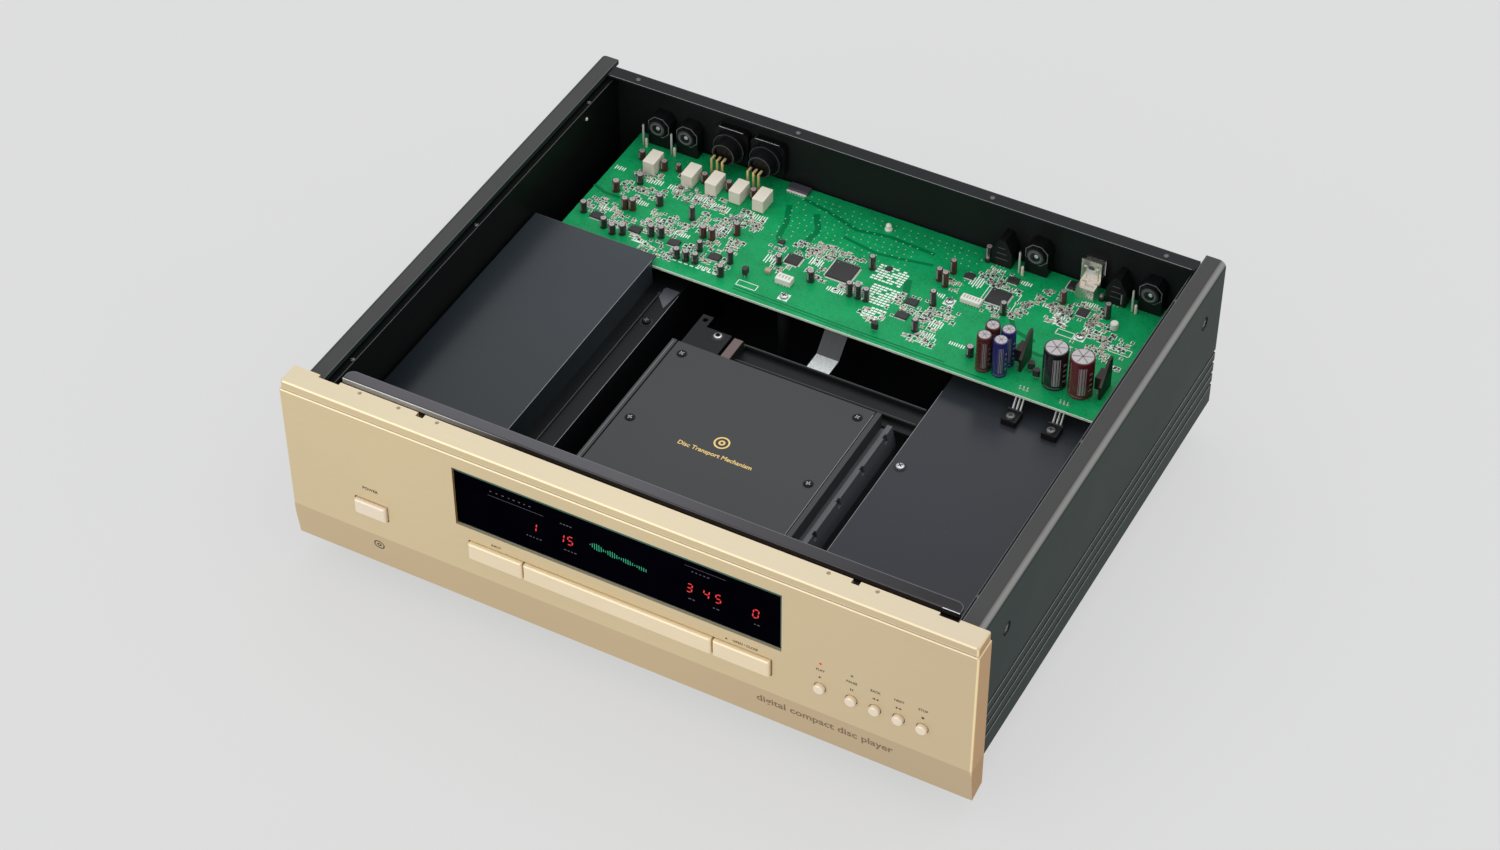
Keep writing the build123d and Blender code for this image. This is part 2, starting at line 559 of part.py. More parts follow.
def clamp_puck():
    """Disc clamp: a ring that presses the disc, a neck through the bridge and a top flange."""
    puck = post(0, SPINDLE_Y, DISC_SEAT_Z + 0.4, 76.4, 15.0)
    puck -= post(0, SPINDLE_Y, DISC_SEAT_Z, 75.6, 9.5)
    puck += post(0, SPINDLE_Y, 76.4, 83.0, 9.0)
    return puck + post(0, SPINDLE_Y, 83.0, 85.0, 14.0)


def traverse_frame():
    """Tilting frame that carries the spindle motor and the pickup, on two pivot pins."""
    frame = block(-40, 30, -140, -22, 50, 54)
    for x0, x1 in ((-40, -37), (27, 30)):
        frame += block(x0, x1, -140, -22, 46, 50)
    frame -= post(0, SPINDLE_Y, 49, 55, 6.1)
    frame -= block(-12, 12, -100, -44, 49, 55)
    frame -= block(-34.6, -21.4, -137.0, -114.0, 49, 55)
    for x in ROD_XS:
        for y in (-112.0, -32.0):
            frame += block(x - 3, x + 3, y - 2, y + 2, 54, 61) - rod_y(x, ROD_Z, y - 3, y + 3, 1.5)
    holder = block(SCREW_X - 3.2, SCREW_X + 3.2, -36, -32, 54, 61)
    frame += holder - rod_y(SCREW_X, SCREW_Z, -37, -31, 2.0 + RUNNING_GAP)
    frame += rod_x(PIVOT_Y, PIVOT_Z, -48.5, -39.0, PIVOT_R)
    frame += rod_x(PIVOT_Y, PIVOT_Z, 29.0, 38.5, PIVOT_R)
    return frame


def spindle_motor():
    """Flat motor under the frame, with its bearing boss up through it."""
    motor = post(0, SPINDLE_Y, 42.5, 50.0, 12.0) + post(0, SPINDLE_Y, 50.0, 57.0, 6.0)
    return motor - post(0, SPINDLE_Y, 43.5, 58.0, 1.0 + RUNNING_GAP)


def turntable():
    """Disc seat with a centring cone, skirt and shaft."""
    seat = post(0, SPINDLE_Y, 68.0, DISC_SEAT_Z, 15.0) + post(0, SPINDLE_Y, 58.0, 68.0, 8.0)
    cone = Pos(0, SPINDLE_Y, DISC_SEAT_Z + 1.4) * Cone(7.2, 5.6, 2.8)
    return seat + cone + post(0, SPINDLE_Y, 44.0, 58.0, 1.0)


def pickup_sled():
    """Pickup carriage on the guide rods, with its lens and the follower on the lead screw."""
    lens_y = SPINDLE_Y + SLED_LENS_R
    sled = block(-24, 24, lens_y - 10, lens_y + 22, 54.6, 61.0)
    for x in ROD_XS:
        sled -= rod_y(x, ROD_Z, lens_y - 11, lens_y + 23, 1.5 + RUNNING_GAP)
    sled -= block(-14, 14, lens_y + 8, lens_y + 19, 57.0, 62.0)
    sled += post(0, lens_y, 61.0, 64.6, 5.5)
    sled -= post(0, lens_y, 64.0, 65.0, 4.6)
    sled += post(0, lens_y, 63.6, 64.4, 3.2)
    return sled + block(SCREW_X - 3, -24, lens_y + 2, lens_y + 10, 59.6, 61.0)


def guide_rods():
    """Two ground rods that the pickup slides on."""
    return group([rod_y(x, ROD_Z, -114.0, -30.0, 1.5) for x in ROD_XS])


def lead_screw():
    """Screw that drives the pickup, its thread shown as rings."""
    screw = rod_y(SCREW_X, SCREW_Z, -112.6, -31.0, 1.6) + rod_y(SCREW_X, SCREW_Z, -37.5, -31.0, 2.0)
    for ring in range(24):
        y = -110.5 + 3.0 * ring
        screw += rod_y(SCREW_X, SCREW_Z, y, y + 1.4, 2.0)
    return screw + rod_y(SCREW_X, SCREW_Z, -119.0, -112.6, 0.9)


def sled_motor():
    """Small round motor at the front end of the lead screw."""
    motor = rod_y(SCREW_X, SCREW_Z, -135.4, -114.4, 5.6)
    motor += block(SCREW_X - 6.4, SCREW_X + 6.4, -115.4, -114.4, 54.0, 60.0)
    return motor - rod_y(SCREW_X, SCREW_Z, -121.0, -112.0, 0.9 + RUNNING_GAP)


# ---------------------------------------------------------------- tray and its drive
def disc_tray():
    """Tray with wells for both disc sizes, a slot open to the back and a rack along one side."""
    tray = block(-TRAY_HALF, TRAY_HALF, TRAY_FRONT_Y, TRAY_REAR_Y, TRAY_Z0, TRAY_Z1)
    tray -= post(0, SPINDLE_Y, 69.5, 80.0, TRAY_WELL_R)
    tray -= post(0, SPINDLE_Y, 68.5, 80.0, TRAY_SMALL_WELL_R)
    tray -= post(0, SPINDLE_Y, 60.0, 80.0, TRAY_SLOT_HALF)
    tray -= block(-TRAY_SLOT_HALF, TRAY_SLOT_HALF, SPINDLE_Y, TRAY_REAR_Y + 1, 60.0, 80.0)
    pitch_x = DRIVE_X + RACK_MODULE * PINION_TEETH / 2
    tray += block(pitch_x + 1.25, pitch_x + 4.0, TRAY_FRONT_Y + 4, TRAY_REAR_Y - 3, 61.6, TRAY_Z0)
    pitch = pi * RACK_MODULE
    for tooth in range(-9, 46):
        middle = DRIVE_Y + (tooth + 0.5) * pitch
        tray += prism_z([(pitch_x + 1.4, middle - 0.30 * pitch), (pitch_x - 0.95, middle - 0.10 * pitch),
                         (pitch_x - 0.95, middle + 0.10 * pitch), (pitch_x + 1.4, middle + 0.30 * pitch)],
                        61.6, TRAY_Z0)
    return tray


def tray_front():
    """Bar that closes the tray slot."""
    return key_body(-TRAY_FRONT_HALF, TRAY_FRONT_HALF, BAR_Z0, BAR_Z1, TRAY_FRONT_Y)


def drive_gear():
    """Large wheel with the pinion that moves the rack."""
    wheel = gear(DRIVE_X, DRIVE_Y, 54.0, 58.0, WHEEL_MODULE, WHEEL_TEETH, 0.0)
    return wheel + gear(DRIVE_X, DRIVE_Y, 58.0, 64.9, RACK_MODULE, PINION_TEETH, 0.0)


def belt_gear():
    """Grooved pulley with the small gear that turns the large wheel."""
    half_pitch_deg = 180.0 / BELT_PINION_TEETH
    small = gear(PULLEY_X, DRIVE_Y, 48.0, 58.2, WHEEL_MODULE, BELT_PINION_TEETH, half_pitch_deg)
    return small + grooved_pulley(PULLEY_X, PULLEY_R) - post(PULLEY_X, DRIVE_Y, 40, 60, SHAFT_R + RUNNING_GAP)


def grooved_pulley(x, r):
    """Pulley with a square groove at belt height."""
    pulley = post(x, DRIVE_Y, BELT_Z - 2, BELT_Z + 2, r)
    ring = post(x, DRIVE_Y, BELT_Z - 1, BELT_Z + 1, r + 1) - post(x, DRIVE_Y, 40, 60, r - GROOVE_DEPTH)
    return pulley - ring


def motor_pulley():
    """Small pulley on the loading motor's shaft."""
    return grooved_pulley(MOTOR_X, MOTOR_PULLEY_R) + post(MOTOR_X, DRIVE_Y, 34.0, BELT_Z, 1.0)


def loading_motor():
    """Flat can motor that drives the tray belt."""
    can = post(MOTOR_X, DRIVE_Y, MECH_FLOOR_Z1, 42.0, 10.0)
    can = fillet(can.faces().sort_by(Axis.Z)[-1].edges(), 0.8)
    return can - post(MOTOR_X, DRIVE_Y, 33.0, 50.0, 1.0 + RUNNING_GAP)


def loading_belt():
    """Flat rubber belt round both pulleys."""
    inner_gap = 0.3
    big = PULLEY_R - GROOVE_DEPTH + inner_gap
    small = MOTOR_PULLEY_R - GROOVE_DEPTH + inner_gap
    return belt_outline(big + BELT_THICK, small + BELT_THICK) - belt_outline(big, small)


def belt_outline(big, small):
    """Solid whose outline is the taut loop round two circles."""
    span = PULLEY_X - MOTOR_X
    lean = (big - small) / span
    rise = (1 - lean * lean) ** 0.5
    corners = []
    for x, r in ((PULLEY_X, big), (MOTOR_X, small)):
        corners.append((x - r * lean, DRIVE_Y + r * rise))
        corners.append((x - r * lean, DRIVE_Y - r * rise))
    top_big, low_big, top_small, low_small = corners
    z0, z1 = BELT_Z - 0.7, BELT_Z + 0.7
    loop = prism_z([top_big, top_small, low_small, low_big], z0, z1)
    return loop + post(PULLEY_X, DRIVE_Y, z0, z1, big) + post(MOTOR_X, DRIVE_Y, z0, z1, small)


# ---------------------------------------------------------------- electronics
def main_board():
    """Circuit board across the back of the player."""
    x0, x1, y0, y1 = BOARD
    return block(x0, x1, y0, y1, BOARD_TOP_Z - BOARD_THICK, BOARD_TOP_Z)


def rca_sockets():
    """Phono sockets: a housing on the board and a threaded barrel through the back plate."""
    sockets = []
    for x in RCA_XS:
        housing = prism_y([(x - 8.0, BOARD_TOP_Z), (x + 8.0, BOARD_TOP_Z), (x + 8.0, 117.5),
                           (x + 4.4, 122.0), (x - 4.4, 122.0), (x - 8.0, 117.5)], 163.0, REAR_IN_Y)
        housing += rod_y(x, RCA_Z, 160.5, 163.0, 6.5)
        housing -= rod_y(x, RCA_Z, 160.0, 162.0, 4.2)
        housing += rod_y(x, RCA_Z, REAR_IN_Y, REAR_OUT_Y, 5.0)
        housing += rod_y(x, RCA_Z, REAR_OUT_Y, 180.5, 7.2)
        barrel = rod_y(x, RCA_Z, 180.5, 180.5 + RCA_BARREL_LEN, RCA_BARREL_R)
        barrel = chamfer(barrel.faces().sort_by(Axis.Y)[-1].edges(), 0.5)
        housing += barrel
        housing -= rod_y(x, RCA_Z, 184.0, 197.0, 1.65)
        pin = post(x - 10.2, 160.0, BOARD_TOP_Z, 115.0, 0.6) + post(x - 7.2, 158.6, BOARD_TOP_Z, 105.0, 0.7)
        sockets.extend([housing, pin])
    return group(sockets)


def xlr_sockets():
    """Balanced output sockets: a cup with three pins, a square flange and a rear body."""
    sockets = []
    for x in XLR_XS:
        body = rod_y(x, XLR_Z, 156.0, 166.0, 8.2) + rod_y(x, XLR_Z, 163.5, REAR_OUT_Y + 7.5, 11.4)
        body += block(x - 13, x + 13, REAR_OUT_Y, REAR_OUT_Y + 2.0, XLR_Z - 15.5, XLR_Z + 15.5)
        body += bar_along_y(x - 12.6, x + 12.6, XLR_Z - 13.0, XLR_Z + 13.0, 167.5, REAR_IN_Y, 4.0)
        body -= rod_y(x, XLR_Z, 166.0, 190.0, 9.3)
        for angle in (90, 210, 330):
            pin_x = x + 4.6 * cos(radians(angle))
            pin_z = XLR_Z + 4.6 * sin(radians(angle))
            body += rod_y(pin_x, pin_z, 165.0, 179.0, 1.2)
        body -= rod_y(x, XLR_Z, 155.0, 158.0, 6.6)
        for shift in XLR_PIN_SHIFTS:
            body += block(x + shift - 0.7, x + shift + 0.7, 151.0, 160.0, XLR_Z - 3.0, XLR_Z - 2.0)
            body += block(x + shift - 0.7, x + shift + 0.7, 151.0, 152.0, BOARD_TOP_Z, XLR_Z - 2.0)
        sockets.append(body)
    return group(sockets)


def optical_sockets():
    """Optical sockets: steep-backed housings with a square port."""
    sockets = []
    for x in OPTICAL_XS:
        housing = prism_y([(x - 7, BOARD_TOP_Z), (x + 7, BOARD_TOP_Z), (x + 7, 110.0), (x + 2.2, 119.4),
                           (x - 2.2, 119.4), (x - 7, 110.0)], 160.0, REAR_IN_Y)
        housing += block(x - 5.0, x + 5.0, REAR_IN_Y, REAR_OUT_Y + 1.0, 102.2, 112.2)
        housing -= block(x - 4.1, x + 4.1, 165.0, REAR_OUT_Y + 2, 103.0, 111.4)
        sockets.append(housing)
    return group(sockets)


def usb_socket():
    """Square data socket in a bright shell with a grounding plate behind it."""
    shell = block(USB_X - 6.2, USB_X + 6.2, 166.0, REAR_OUT_Y + 0.8, 106.5, 118.5)
    shell -= block(USB_X - 4.3, USB_X + 4.3, 168.0, REAR_OUT_Y + 2, 108.4, 116.6)
    shell += block(USB_X - 6.9, USB_X + 6.9, 165.0, 166.0, 104.5, 122.5)
    shell += block(USB_X - 2.6, USB_X + 2.6, 168.0, 170.8, 111.2, 113.8)
    return shell + block(USB_X - 6.2, USB_X + 6.2, 156.0, 165.0, BOARD_TOP_Z, 106.5)


def relays():
    """Output relays in a row behind the analogue sockets."""
    cases = []
    for x in RELAY_XS:
        case = block(x - 4.2, x + 4.2, RELAY_Y - 7.3, RELAY_Y + 7.3, BOARD_TOP_Z + 0.5, 108.0)
        case = fillet(case.edges().filter_by(Axis.Z), 0.6)
        cases.append(case + block(x - 3.6, x + 3.6, RELAY_Y - 6.6, RELAY_Y + 6.6, BOARD_TOP_Z, 98.5))
    return group(cases)


def capacitor(x, y, r, height):
    """Can capacitor with a crimp ring near its foot."""
    can = post(x, y, BOARD_TOP_Z, BOARD_TOP_Z + height, r)
    can = fillet(can.faces().sort_by(Axis.Z)[-1].edges(), 0.7)
    crimp = post(x, y, BOARD_TOP_Z + 1.6, BOARD_TOP_Z + 2.6, r + 1) - post(x, y, 90, 140, r - 0.4)
    return can - crimp


def capacitors():
    """Reservoir capacitors at the right end of the board."""
    cans = [capacitor(*place) for place in TALL_CAPS]
    cans += [capacitor(x, y, 4.9, 28.5) for x, y in MID_CAPS]
    return group(cans)


def heat_sinks():
    """Upright plates with a sloping front corner, each with its transistor."""
    sinks = []
    y0, y1 = HEAT_SINK_Y - 8, HEAT_SINK_Y + 8
    for x in HEAT_SINK_XS:
        plate = prism_x([(y0, BOARD_TOP_Z), (y1, BOARD_TOP_Z), (y1, 122.0), (y1 - 5, 122.0), (y0, 108.0)],
                        x - 0.9, x + 0.9)
        plate += block(x - 5.1, x - 0.9, HEAT_SINK_Y - 5, HEAT_SINK_Y + 5, 103.0, 112.5)
        for shift in (-2.5, 0.0, 2.5):
            y = HEAT_SINK_Y + shift
            plate += block(x - 3.4, x - 2.8, y - 0.4, y + 0.4, BOARD_TOP_Z, 103.0)
        sinks.append(plate)
    return group(sinks)


def power_transistors():
    """Regulators lying on the right bay lid, their leads slanting up to the board."""
    parts = []
    under = BOARD_TOP_Z - BOARD_THICK
    for x, y in TRANSISTORS:
        back = y + 7.6
        body = slab(x - 5.1, x + 5.1, y - 3.9, back, BAY_TOP_Z, BAY_TOP_Z + 4.6, 0.5)
        for shift in (-2.54, 0.0, 2.54):
            body += prism_x([(back - 0.5, 86.0), (back + 0.9, 86.0), (back + 8.4, under),
                             (back + 7.4, under), (back + 0.4, 86.9), (back - 0.5, 86.9)],
                            x + shift - 0.5, x + shift + 0.5)
        parts.append(body)
    return group(parts)


def power_transformer():
    """Potted mains transformer bolted to the floor of the left bay."""
    x0, x1, y0, y1 = -202.0, -121.0, -125.0, -35.0
    case = fillet(block(x0, x1, y0, y1, FLOOR_Z1, 92.0).edges().filter_by(Axis.Z), 6.0)
    case = fillet(case.faces().sort_by(Axis.Z)[-1].edges(), 2.0)
    for y in (y0, y1):
        case += block(-172.0, -150.0, y - 9, y + 9, FLOOR_Z1, 27.0)
        outside = y - 6 if y == y0 else y + 6
        case -= post(-161.0, outside, 20.0, 30.0, 2.2)
    return case


def supply_board():
    """Rectifier board of the left bay with its reservoir capacitors."""
    board = block(-202.0, -112.0, -18.0, 50.0, 33.0, 34.6)
    for x in (-198.0, -116.0):
        for y in (-14.0, 46.0):
            board += post(x, y, FLOOR_Z1, 33.0, 3.0)
    for x in (-184.0, -157.0, -130.0):
        for y in (0.0, 30.0):
            board += post(x, y, 34.6, 80.0, 11.0)
    return board


def flat_cable():
    """Flat ribbon from under the crossbar up to the underside of the main board."""
    under = BOARD_TOP_Z - BOARD_THICK
    top = [(10.0, 78.4), (48.8, 78.4), (66.4, under)]
    low = [(67.0, under), (49.1, 78.0), (10.0, 78.0)]
    return prism_x(top + low, 6.5, 22.5)


def mains_inlet():
    """Three-pin mains inlet in the back plate."""
    x, z = INLET_X, INLET_Z
    body = block(x - 13.8, x + 13.8, 152.0, REAR_OUT_Y, z - 10.3, z + 10.3)
    body += block(x - 25, x + 25, REAR_OUT_Y, REAR_OUT_Y + 3.0, z - 11.5, z + 11.5)
    body -= block(x - 12.0, x + 12.0, 160.0, REAR_OUT_Y + 4, z - 8.0, z + 8.0)
    for shift, height in ((-7.0, 0.0), (0.0, 2.5), (7.0, 0.0)):
        body += block(x + shift - 1.0, x + shift + 1.0, 159.0, REAR_OUT_Y - 1,
                      z + height - 2.0, z + height + 2.0)
    return body


# ---------------------------------------------------------------- write the nodes
NODES = {
    "front_panel": front_panel,
    "display_window": display_window,
    "front_boards": front_boards,
    "front_subplate": front_subplate,
    "power_button": power_button,
    "power_switch": power_switch,
    "left_bar_button": lambda: bar_key(-1),
    "open_button": lambda: bar_key(1),
    "left_side_panel": lambda: side_panel(-1),
    "right_side_panel": lambda: side_panel(1),
    "left_inner_wall": lambda: inner_wall(-1),
    "right_inner_wall": lambda: inner_wall(1),
    "bottom_plate": bottom_plate,
    "rear_panel": rear_panel,
    "left_bay_cover": left_bay_cover,
    "left_divider": left_divider,
    "right_bay_cover": right_bay_cover,
    "case_screws": screw_heads,
    "mech_base": mech_base,
    "mech_top_plate": mech_top_plate,
    "mech_side_rails": mech_side_rails,
    "mech_crossbar": mech_crossbar,
    "clamp_bridge": clamp_bridge,
    "clamp_puck": clamp_puck,
    "traverse_frame": traverse_frame,
    "spindle_motor": spindle_motor,
    "turntable": turntable,
    "pickup_sled": pickup_sled,
    "guide_rods": guide_rods,
    "lead_screw": lead_screw,
    "sled_motor": sled_motor,
    "disc_tray": disc_tray,
    "tray_front": tray_front,
    "drive_gear": drive_gear,
    "belt_gear": belt_gear,
    "motor_pulley": motor_pulley,
    "loading_motor": loading_motor,
    "loading_belt": loading_belt,
    "main_board": main_board,
    "rca_sockets": rca_sockets,
    "xlr_sockets": xlr_sockets,
    "optical_sockets": optical_sockets,
    "usb_socket": usb_socket,
    "relays": relays,
    "capacitors": capacitors,
    "heat_sinks": heat_sinks,
    "power_transistors": power_transistors,
    "power_transformer": power_transformer,
    "supply_board": supply_board,
    "flat_cable": flat_cable,
    "mains_inlet": mains_inlet,
}


def main():
    os.makedirs("parts", exist_ok=True)
    shapes = {name: make() for name, make in NODES.items()}
    for name, x in ROUND_KEYS.items():
        shapes[name] = round_key(x)
    for end, y in (("front", -FOOT_Y), ("rear", FOOT_Y)):
        for side, x in (("left", -FOOT_X), ("right", FOOT_X)):
            shapes[f"foot_{end}_{side}"] = foot(x, y)
    for name, shape in shapes.items():
        export_step(shape, f"parts/{name}.step")
    print(len(shapes), "nodes written")


main()
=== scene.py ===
"""Looks of the disc player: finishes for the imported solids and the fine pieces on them."""
import random
from functools import lru_cache
from math import atan2, cos, hypot, pi, radians, sin

import bmesh
import bpy
from mathutils import Matrix, Vector


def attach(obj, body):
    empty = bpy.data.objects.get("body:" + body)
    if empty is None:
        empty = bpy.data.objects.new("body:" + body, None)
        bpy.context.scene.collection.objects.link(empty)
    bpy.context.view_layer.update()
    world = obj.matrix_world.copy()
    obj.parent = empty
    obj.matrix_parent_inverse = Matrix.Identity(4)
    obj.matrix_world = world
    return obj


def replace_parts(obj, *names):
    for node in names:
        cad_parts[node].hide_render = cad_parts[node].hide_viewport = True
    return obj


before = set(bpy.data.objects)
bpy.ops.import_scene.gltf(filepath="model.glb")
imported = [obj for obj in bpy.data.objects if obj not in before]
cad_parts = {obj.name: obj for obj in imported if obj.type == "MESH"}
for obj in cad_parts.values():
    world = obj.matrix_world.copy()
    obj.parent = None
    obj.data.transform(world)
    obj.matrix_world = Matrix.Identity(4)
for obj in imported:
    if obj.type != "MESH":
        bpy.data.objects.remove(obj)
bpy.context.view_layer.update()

MM = 0.001
SHARP_ANGLE = 0.6
BOLD = 0.018      # share of the letter size by which letters are thickened
RNG = random.Random(7)


# ---- camera, floor and light
CAMERA_PLACE = (0.70783, -1.34269, 1.5048)
CAMERA_RIGHT = (0.881108, 0.472913, -0.001427)
CAMERA_UP = (-0.325863, 0.609312, 0.722877)
CAMERA_BACK = (0.342728, -0.636468, 0.690975)
CAMERA_LENS = 79.78
WORLD_STRENGTH = 0.8
OVERHEAD_POWER = 22
FRONT_POWER = 20
EDGE_POWER = 5
FLOOR_GLOW, FLOOR_HALF = 0.76, 6
CORNERS = ((-1, -1), (1, -1), (1, 1), (-1, 1))


def add_camera():
    data = bpy.data.cameras.new("camera")
    data.lens = CAMERA_LENS
    data.sensor_width = 36
    data.clip_end = 20
    camera = bpy.data.objects.new("camera", data)
    turn = Matrix((CAMERA_RIGHT, CAMERA_UP, CAMERA_BACK)).transposed()
    camera.matrix_world = Matrix.Translation(CAMERA_PLACE) @ turn.to_4x4()
    bpy.context.collection.objects.link(camera)
    bpy.context.scene.camera = camera


def add_light(name, place, aim, size, power):
    data = bpy.data.lights.new(name, "AREA")
    data.shape = "RECTANGLE"
    data.size, data.size_y = size
    data.energy = power
    light = bpy.data.objects.new(name, data)
    back = (Vector(place) - Vector(aim)).normalized()
    light.matrix_world = Matrix.Translation(place) @ back.to_track_quat("Z", "Y").to_matrix().to_4x4()
    bpy.context.collection.objects.link(light)


def add_studio():
    """Even light all round, a little more from above, and a pale floor."""
    scene = bpy.context.scene
    scene.view_settings.view_transform = "Standard"
    world = bpy.data.worlds.new("studio")
    scene.world = world
    world.use_nodes = True
    background = world.node_tree.nodes["Background"]
    background.inputs["Color"].default_value = (0.97, 0.985, 1, 1)
    background.inputs["Strength"].default_value = WORLD_STRENGTH
    add_light("overhead", (0, 0.6, 2.4), (0, 0.05, 0), (3, 2.4), OVERHEAD_POWER)
    add_light("front", (-1, -2.6, 1.3), (0, 0, 0.05), (2.4, 1.6), FRONT_POWER)
    add_light("edge", (2.1, 1.95, 1.1), (0.2, 0, 0.1), (0.5, 0.9), EDGE_POWER)
    mesh = bpy.data.meshes.new("floor")
    mesh.from_pydata([(x * FLOOR_HALF, y * FLOOR_HALF, 0) for x, y in CORNERS], [], [(0, 1, 2, 3)])
    floor = bpy.data.objects.new("floor", mesh)
    bpy.context.collection.objects.link(floor)
    paper = surface("floor_paper", (0.15, 0.15, 0.15), 0.95, mottle=0.004, grain=40, specular=0)
    glow_input = paper.node_tree.nodes["Principled BSDF"].inputs
    glow_input["Emission Color"].default_value = (0.74, 0.74, 0.74, 1)
    glow_input["Emission Strength"].default_value = FLOOR_GLOW
    floor.data.materials.append(paper)


# ---- finishes
def node_link(tree, kind, links=None, **settings):
    """New shader node with its settings, joined to the sockets in links."""
    node = tree.nodes.new("ShaderNode" + kind)
    for key, value in settings.items():
        setattr(node, key, value)
    for socket, source in (links or {}).items():
        if isinstance(source, bpy.types.NodeSocket):
            tree.links.new(source, node.inputs[socket])
        else:
            node.inputs[socket].default_value = source
    return node


def blank(name):
    """New material and its shader."""
    made = bpy.data.materials.new(name)
    made.use_nodes = True
    return made, made.node_tree, made.node_tree.nodes["Principled BSDF"]


def noise(tree, grain, stretch=(1, 1, 1)):
    """Noise in the frame's own metres; a small stretch value draws it out along that axis."""
    spot = node_link(tree, "TexCoord")
    lay = node_link(tree, "Mapping", {"Vector": spot.outputs["Object"], "Scale": stretch})
    return node_link(tree, "TexNoise", {
        "Vector": lay.outputs["Vector"], "Scale": grain, "Detail": 3}).outputs["Fac"]


def spread(tree, value, low, high, start=0.3, end=0.7):
    """Value between start and end taken to a range; the defaults are where noise mostly lies."""
    return node_link(tree, "MapRange", {
        "Value": value, "From Min": start, "From Max": end, "To Min": low, "To Max": high}).outputs["Result"]


def mix(tree, share, low, high, **settings):
    """Colour between two tones, or one tone laid over another."""
    return node_link(tree, "Mix", {0: share, 6: low, 7: high}, data_type="RGBA", **settings).outputs[2]


def ramp_along(tree, axis, low_place, high_place, low_tone, high_tone):
    """Tone that changes evenly between two places along one axis of the frame; used for painted light and
    shade.
    """
    spot = node_link(tree, "TexCoord")
    parts = node_link(tree, "SeparateXYZ", {"Vector": spot.outputs["Object"]})
    share = spread(tree, parts.outputs[axis], 0, 1, low_place, high_place)
    return mix(tree, share, low_tone + (1,), high_tone + (1,))


def painted_facing_light(tree, direction, low, high, tone):
    """Painted light and shade: tone on the faces that look along a direction, fading out as they turn away.
    """
    look = node_link(tree, "NewGeometry")
    near = node_link(tree, "VectorMath", {0: look.outputs["Normal"], 1: direction}, operation="DOT_PRODUCT")
    share = spread(tree, near.outputs["Value"], 0, 1, low, high)
    return mix(tree, share, (1, 1, 1, 1), tone + (1,))


def shade(color, factor):
    return tuple(min(1, c * factor) for c in color) + (1,)


F = {}


def surface(name, color, rough, metal=0, mottle=0.06, grain=900, stretch=(1, 1, 1), bump=0,
            depth=2e-5, rough_spread=0.06, coat=0, specular=0.5, patch=12, ramps=(), facings=()):
    """Finish with fine grain, patches of tone and uneven gloss, with painted light and shade laid on by place
    and by facing.
    """
    made, tree, shader = blank(name)
    fine = noise(tree, grain, stretch)
    broad = noise(tree, patch)
    mixed = node_link(tree, "Math", {0: fine, 1: broad}, operation="ADD").outputs[0]
    half = node_link(tree, "Math", {0: mixed, 1: 0.5}, operation="MULTIPLY").outputs[0]
    tone = mix(tree, spread(tree, half, 0, 1), shade(color, 1 - mottle), shade(color, 1 + mottle))
    layers = [ramp_along(tree, *ramp) for ramp in ramps]
    layers += [painted_facing_light(tree, *facing) for facing in facings]
    for layer in layers:
        tone = mix(tree, 1, tone, layer, blend_type="MULTIPLY")
    tree.links.new(tone, shader.inputs["Base Color"])
    low, high = max(0.02, rough - rough_spread), min(1, rough + rough_spread)
    tree.links.new(spread(tree, half, low, high), shader.inputs["Roughness"])
    for socket, value in (("Metallic", metal), ("Coat Weight", coat), ("Coat Roughness", 0.08),
                          ("Specular IOR Level", specular)):
        shader.inputs[socket].default_value = value
    if bump:
        relief = node_link(tree, "Bump", {"Height": fine, "Strength": bump, "Distance": depth})
        tree.links.new(relief.outputs["Normal"], shader.inputs["Normal"])
    F[name] = made
    return made


def glow(name, color, strength):
    """Lit display segment, a little uneven."""
    made, tree, shader = blank(name)
    tone = mix(tree, noise(tree, 1500), shade(color, 0.8), shade(color, 1))
    tree.links.new(tone, shader.inputs["Base Color"])
    tree.links.new(tone, shader.inputs["Emission Color"])
    shader.inputs["Emission Strength"].default_value = strength
    shader.inputs["Roughness"].default_value = 0.4
    F[name] = made


BRUSHED_X = (0.02, 1, 1)
BRUSHED = {"mottle": 0.04, "grain": 2600, "stretch": BRUSHED_X, "bump": 0.1, "depth": 1e-5}
PLATED = {"mottle": 0.2, "grain": 1200, "stretch": (1, 0.2, 1), "bump": 0.05}
SHEET = {"mottle": 0.1, "grain": 1600, "bump": 0.05}
TO_TOP, TO_RIGHT = (0, 0, 1), (1, 0, 0)
TO_TOP_FRONT, TO_RIGHT_FRONT = (0, -0.7071, 0.7071), (0.7071, -0.7071, 0)
TO_TOP_RIGHT = (0.7071, 0, 0.7071)
# Front panel with painted light and shade: the lower sloping band darker, the face darker towards the right
# end, the top face tinted cooler, the right end face darker, and painted highlights on the top front chamfers
# and the right front corner.
surface("champagne", (0.735, 0.59, 0.355), 0.42, metal=0.45, mottle=0.045, grain=2600,
        stretch=BRUSHED_X, bump=0.12, depth=1e-5, patch=5,
        ramps=[("Z", 0.0464, 0.0466, (0.87, 0.83, 0.81), (1, 1, 1)),
               ("X", 0, 0.22, (1, 1, 1), (0.91, 0.9, 0.93))],
        facings=[(TO_TOP, 0.9, 0.99, (0.9, 0.96, 1.1)),
                 (TO_RIGHT, 0.9, 0.99, (0.74, 0.54, 0.34)),
                 (TO_TOP_FRONT, 0.97, 0.995, (1.25, 1.32, 1.45)),
                 (TO_RIGHT_FRONT, 0.8, 0.97, (1.6, 1.6, 1.5))])
surface("key_champagne", (0.9, 0.77, 0.6), 0.36, metal=0.3, **BRUSHED)
surface("bar_champagne", (0.92, 0.77, 0.53), 0.36, metal=0.4, **BRUSHED)
surface("window_glass", (0.0009, 0.0007, 0.0022), 0.12, mottle=0.3, grain=60, rough_spread=0.02,
        specular=0)
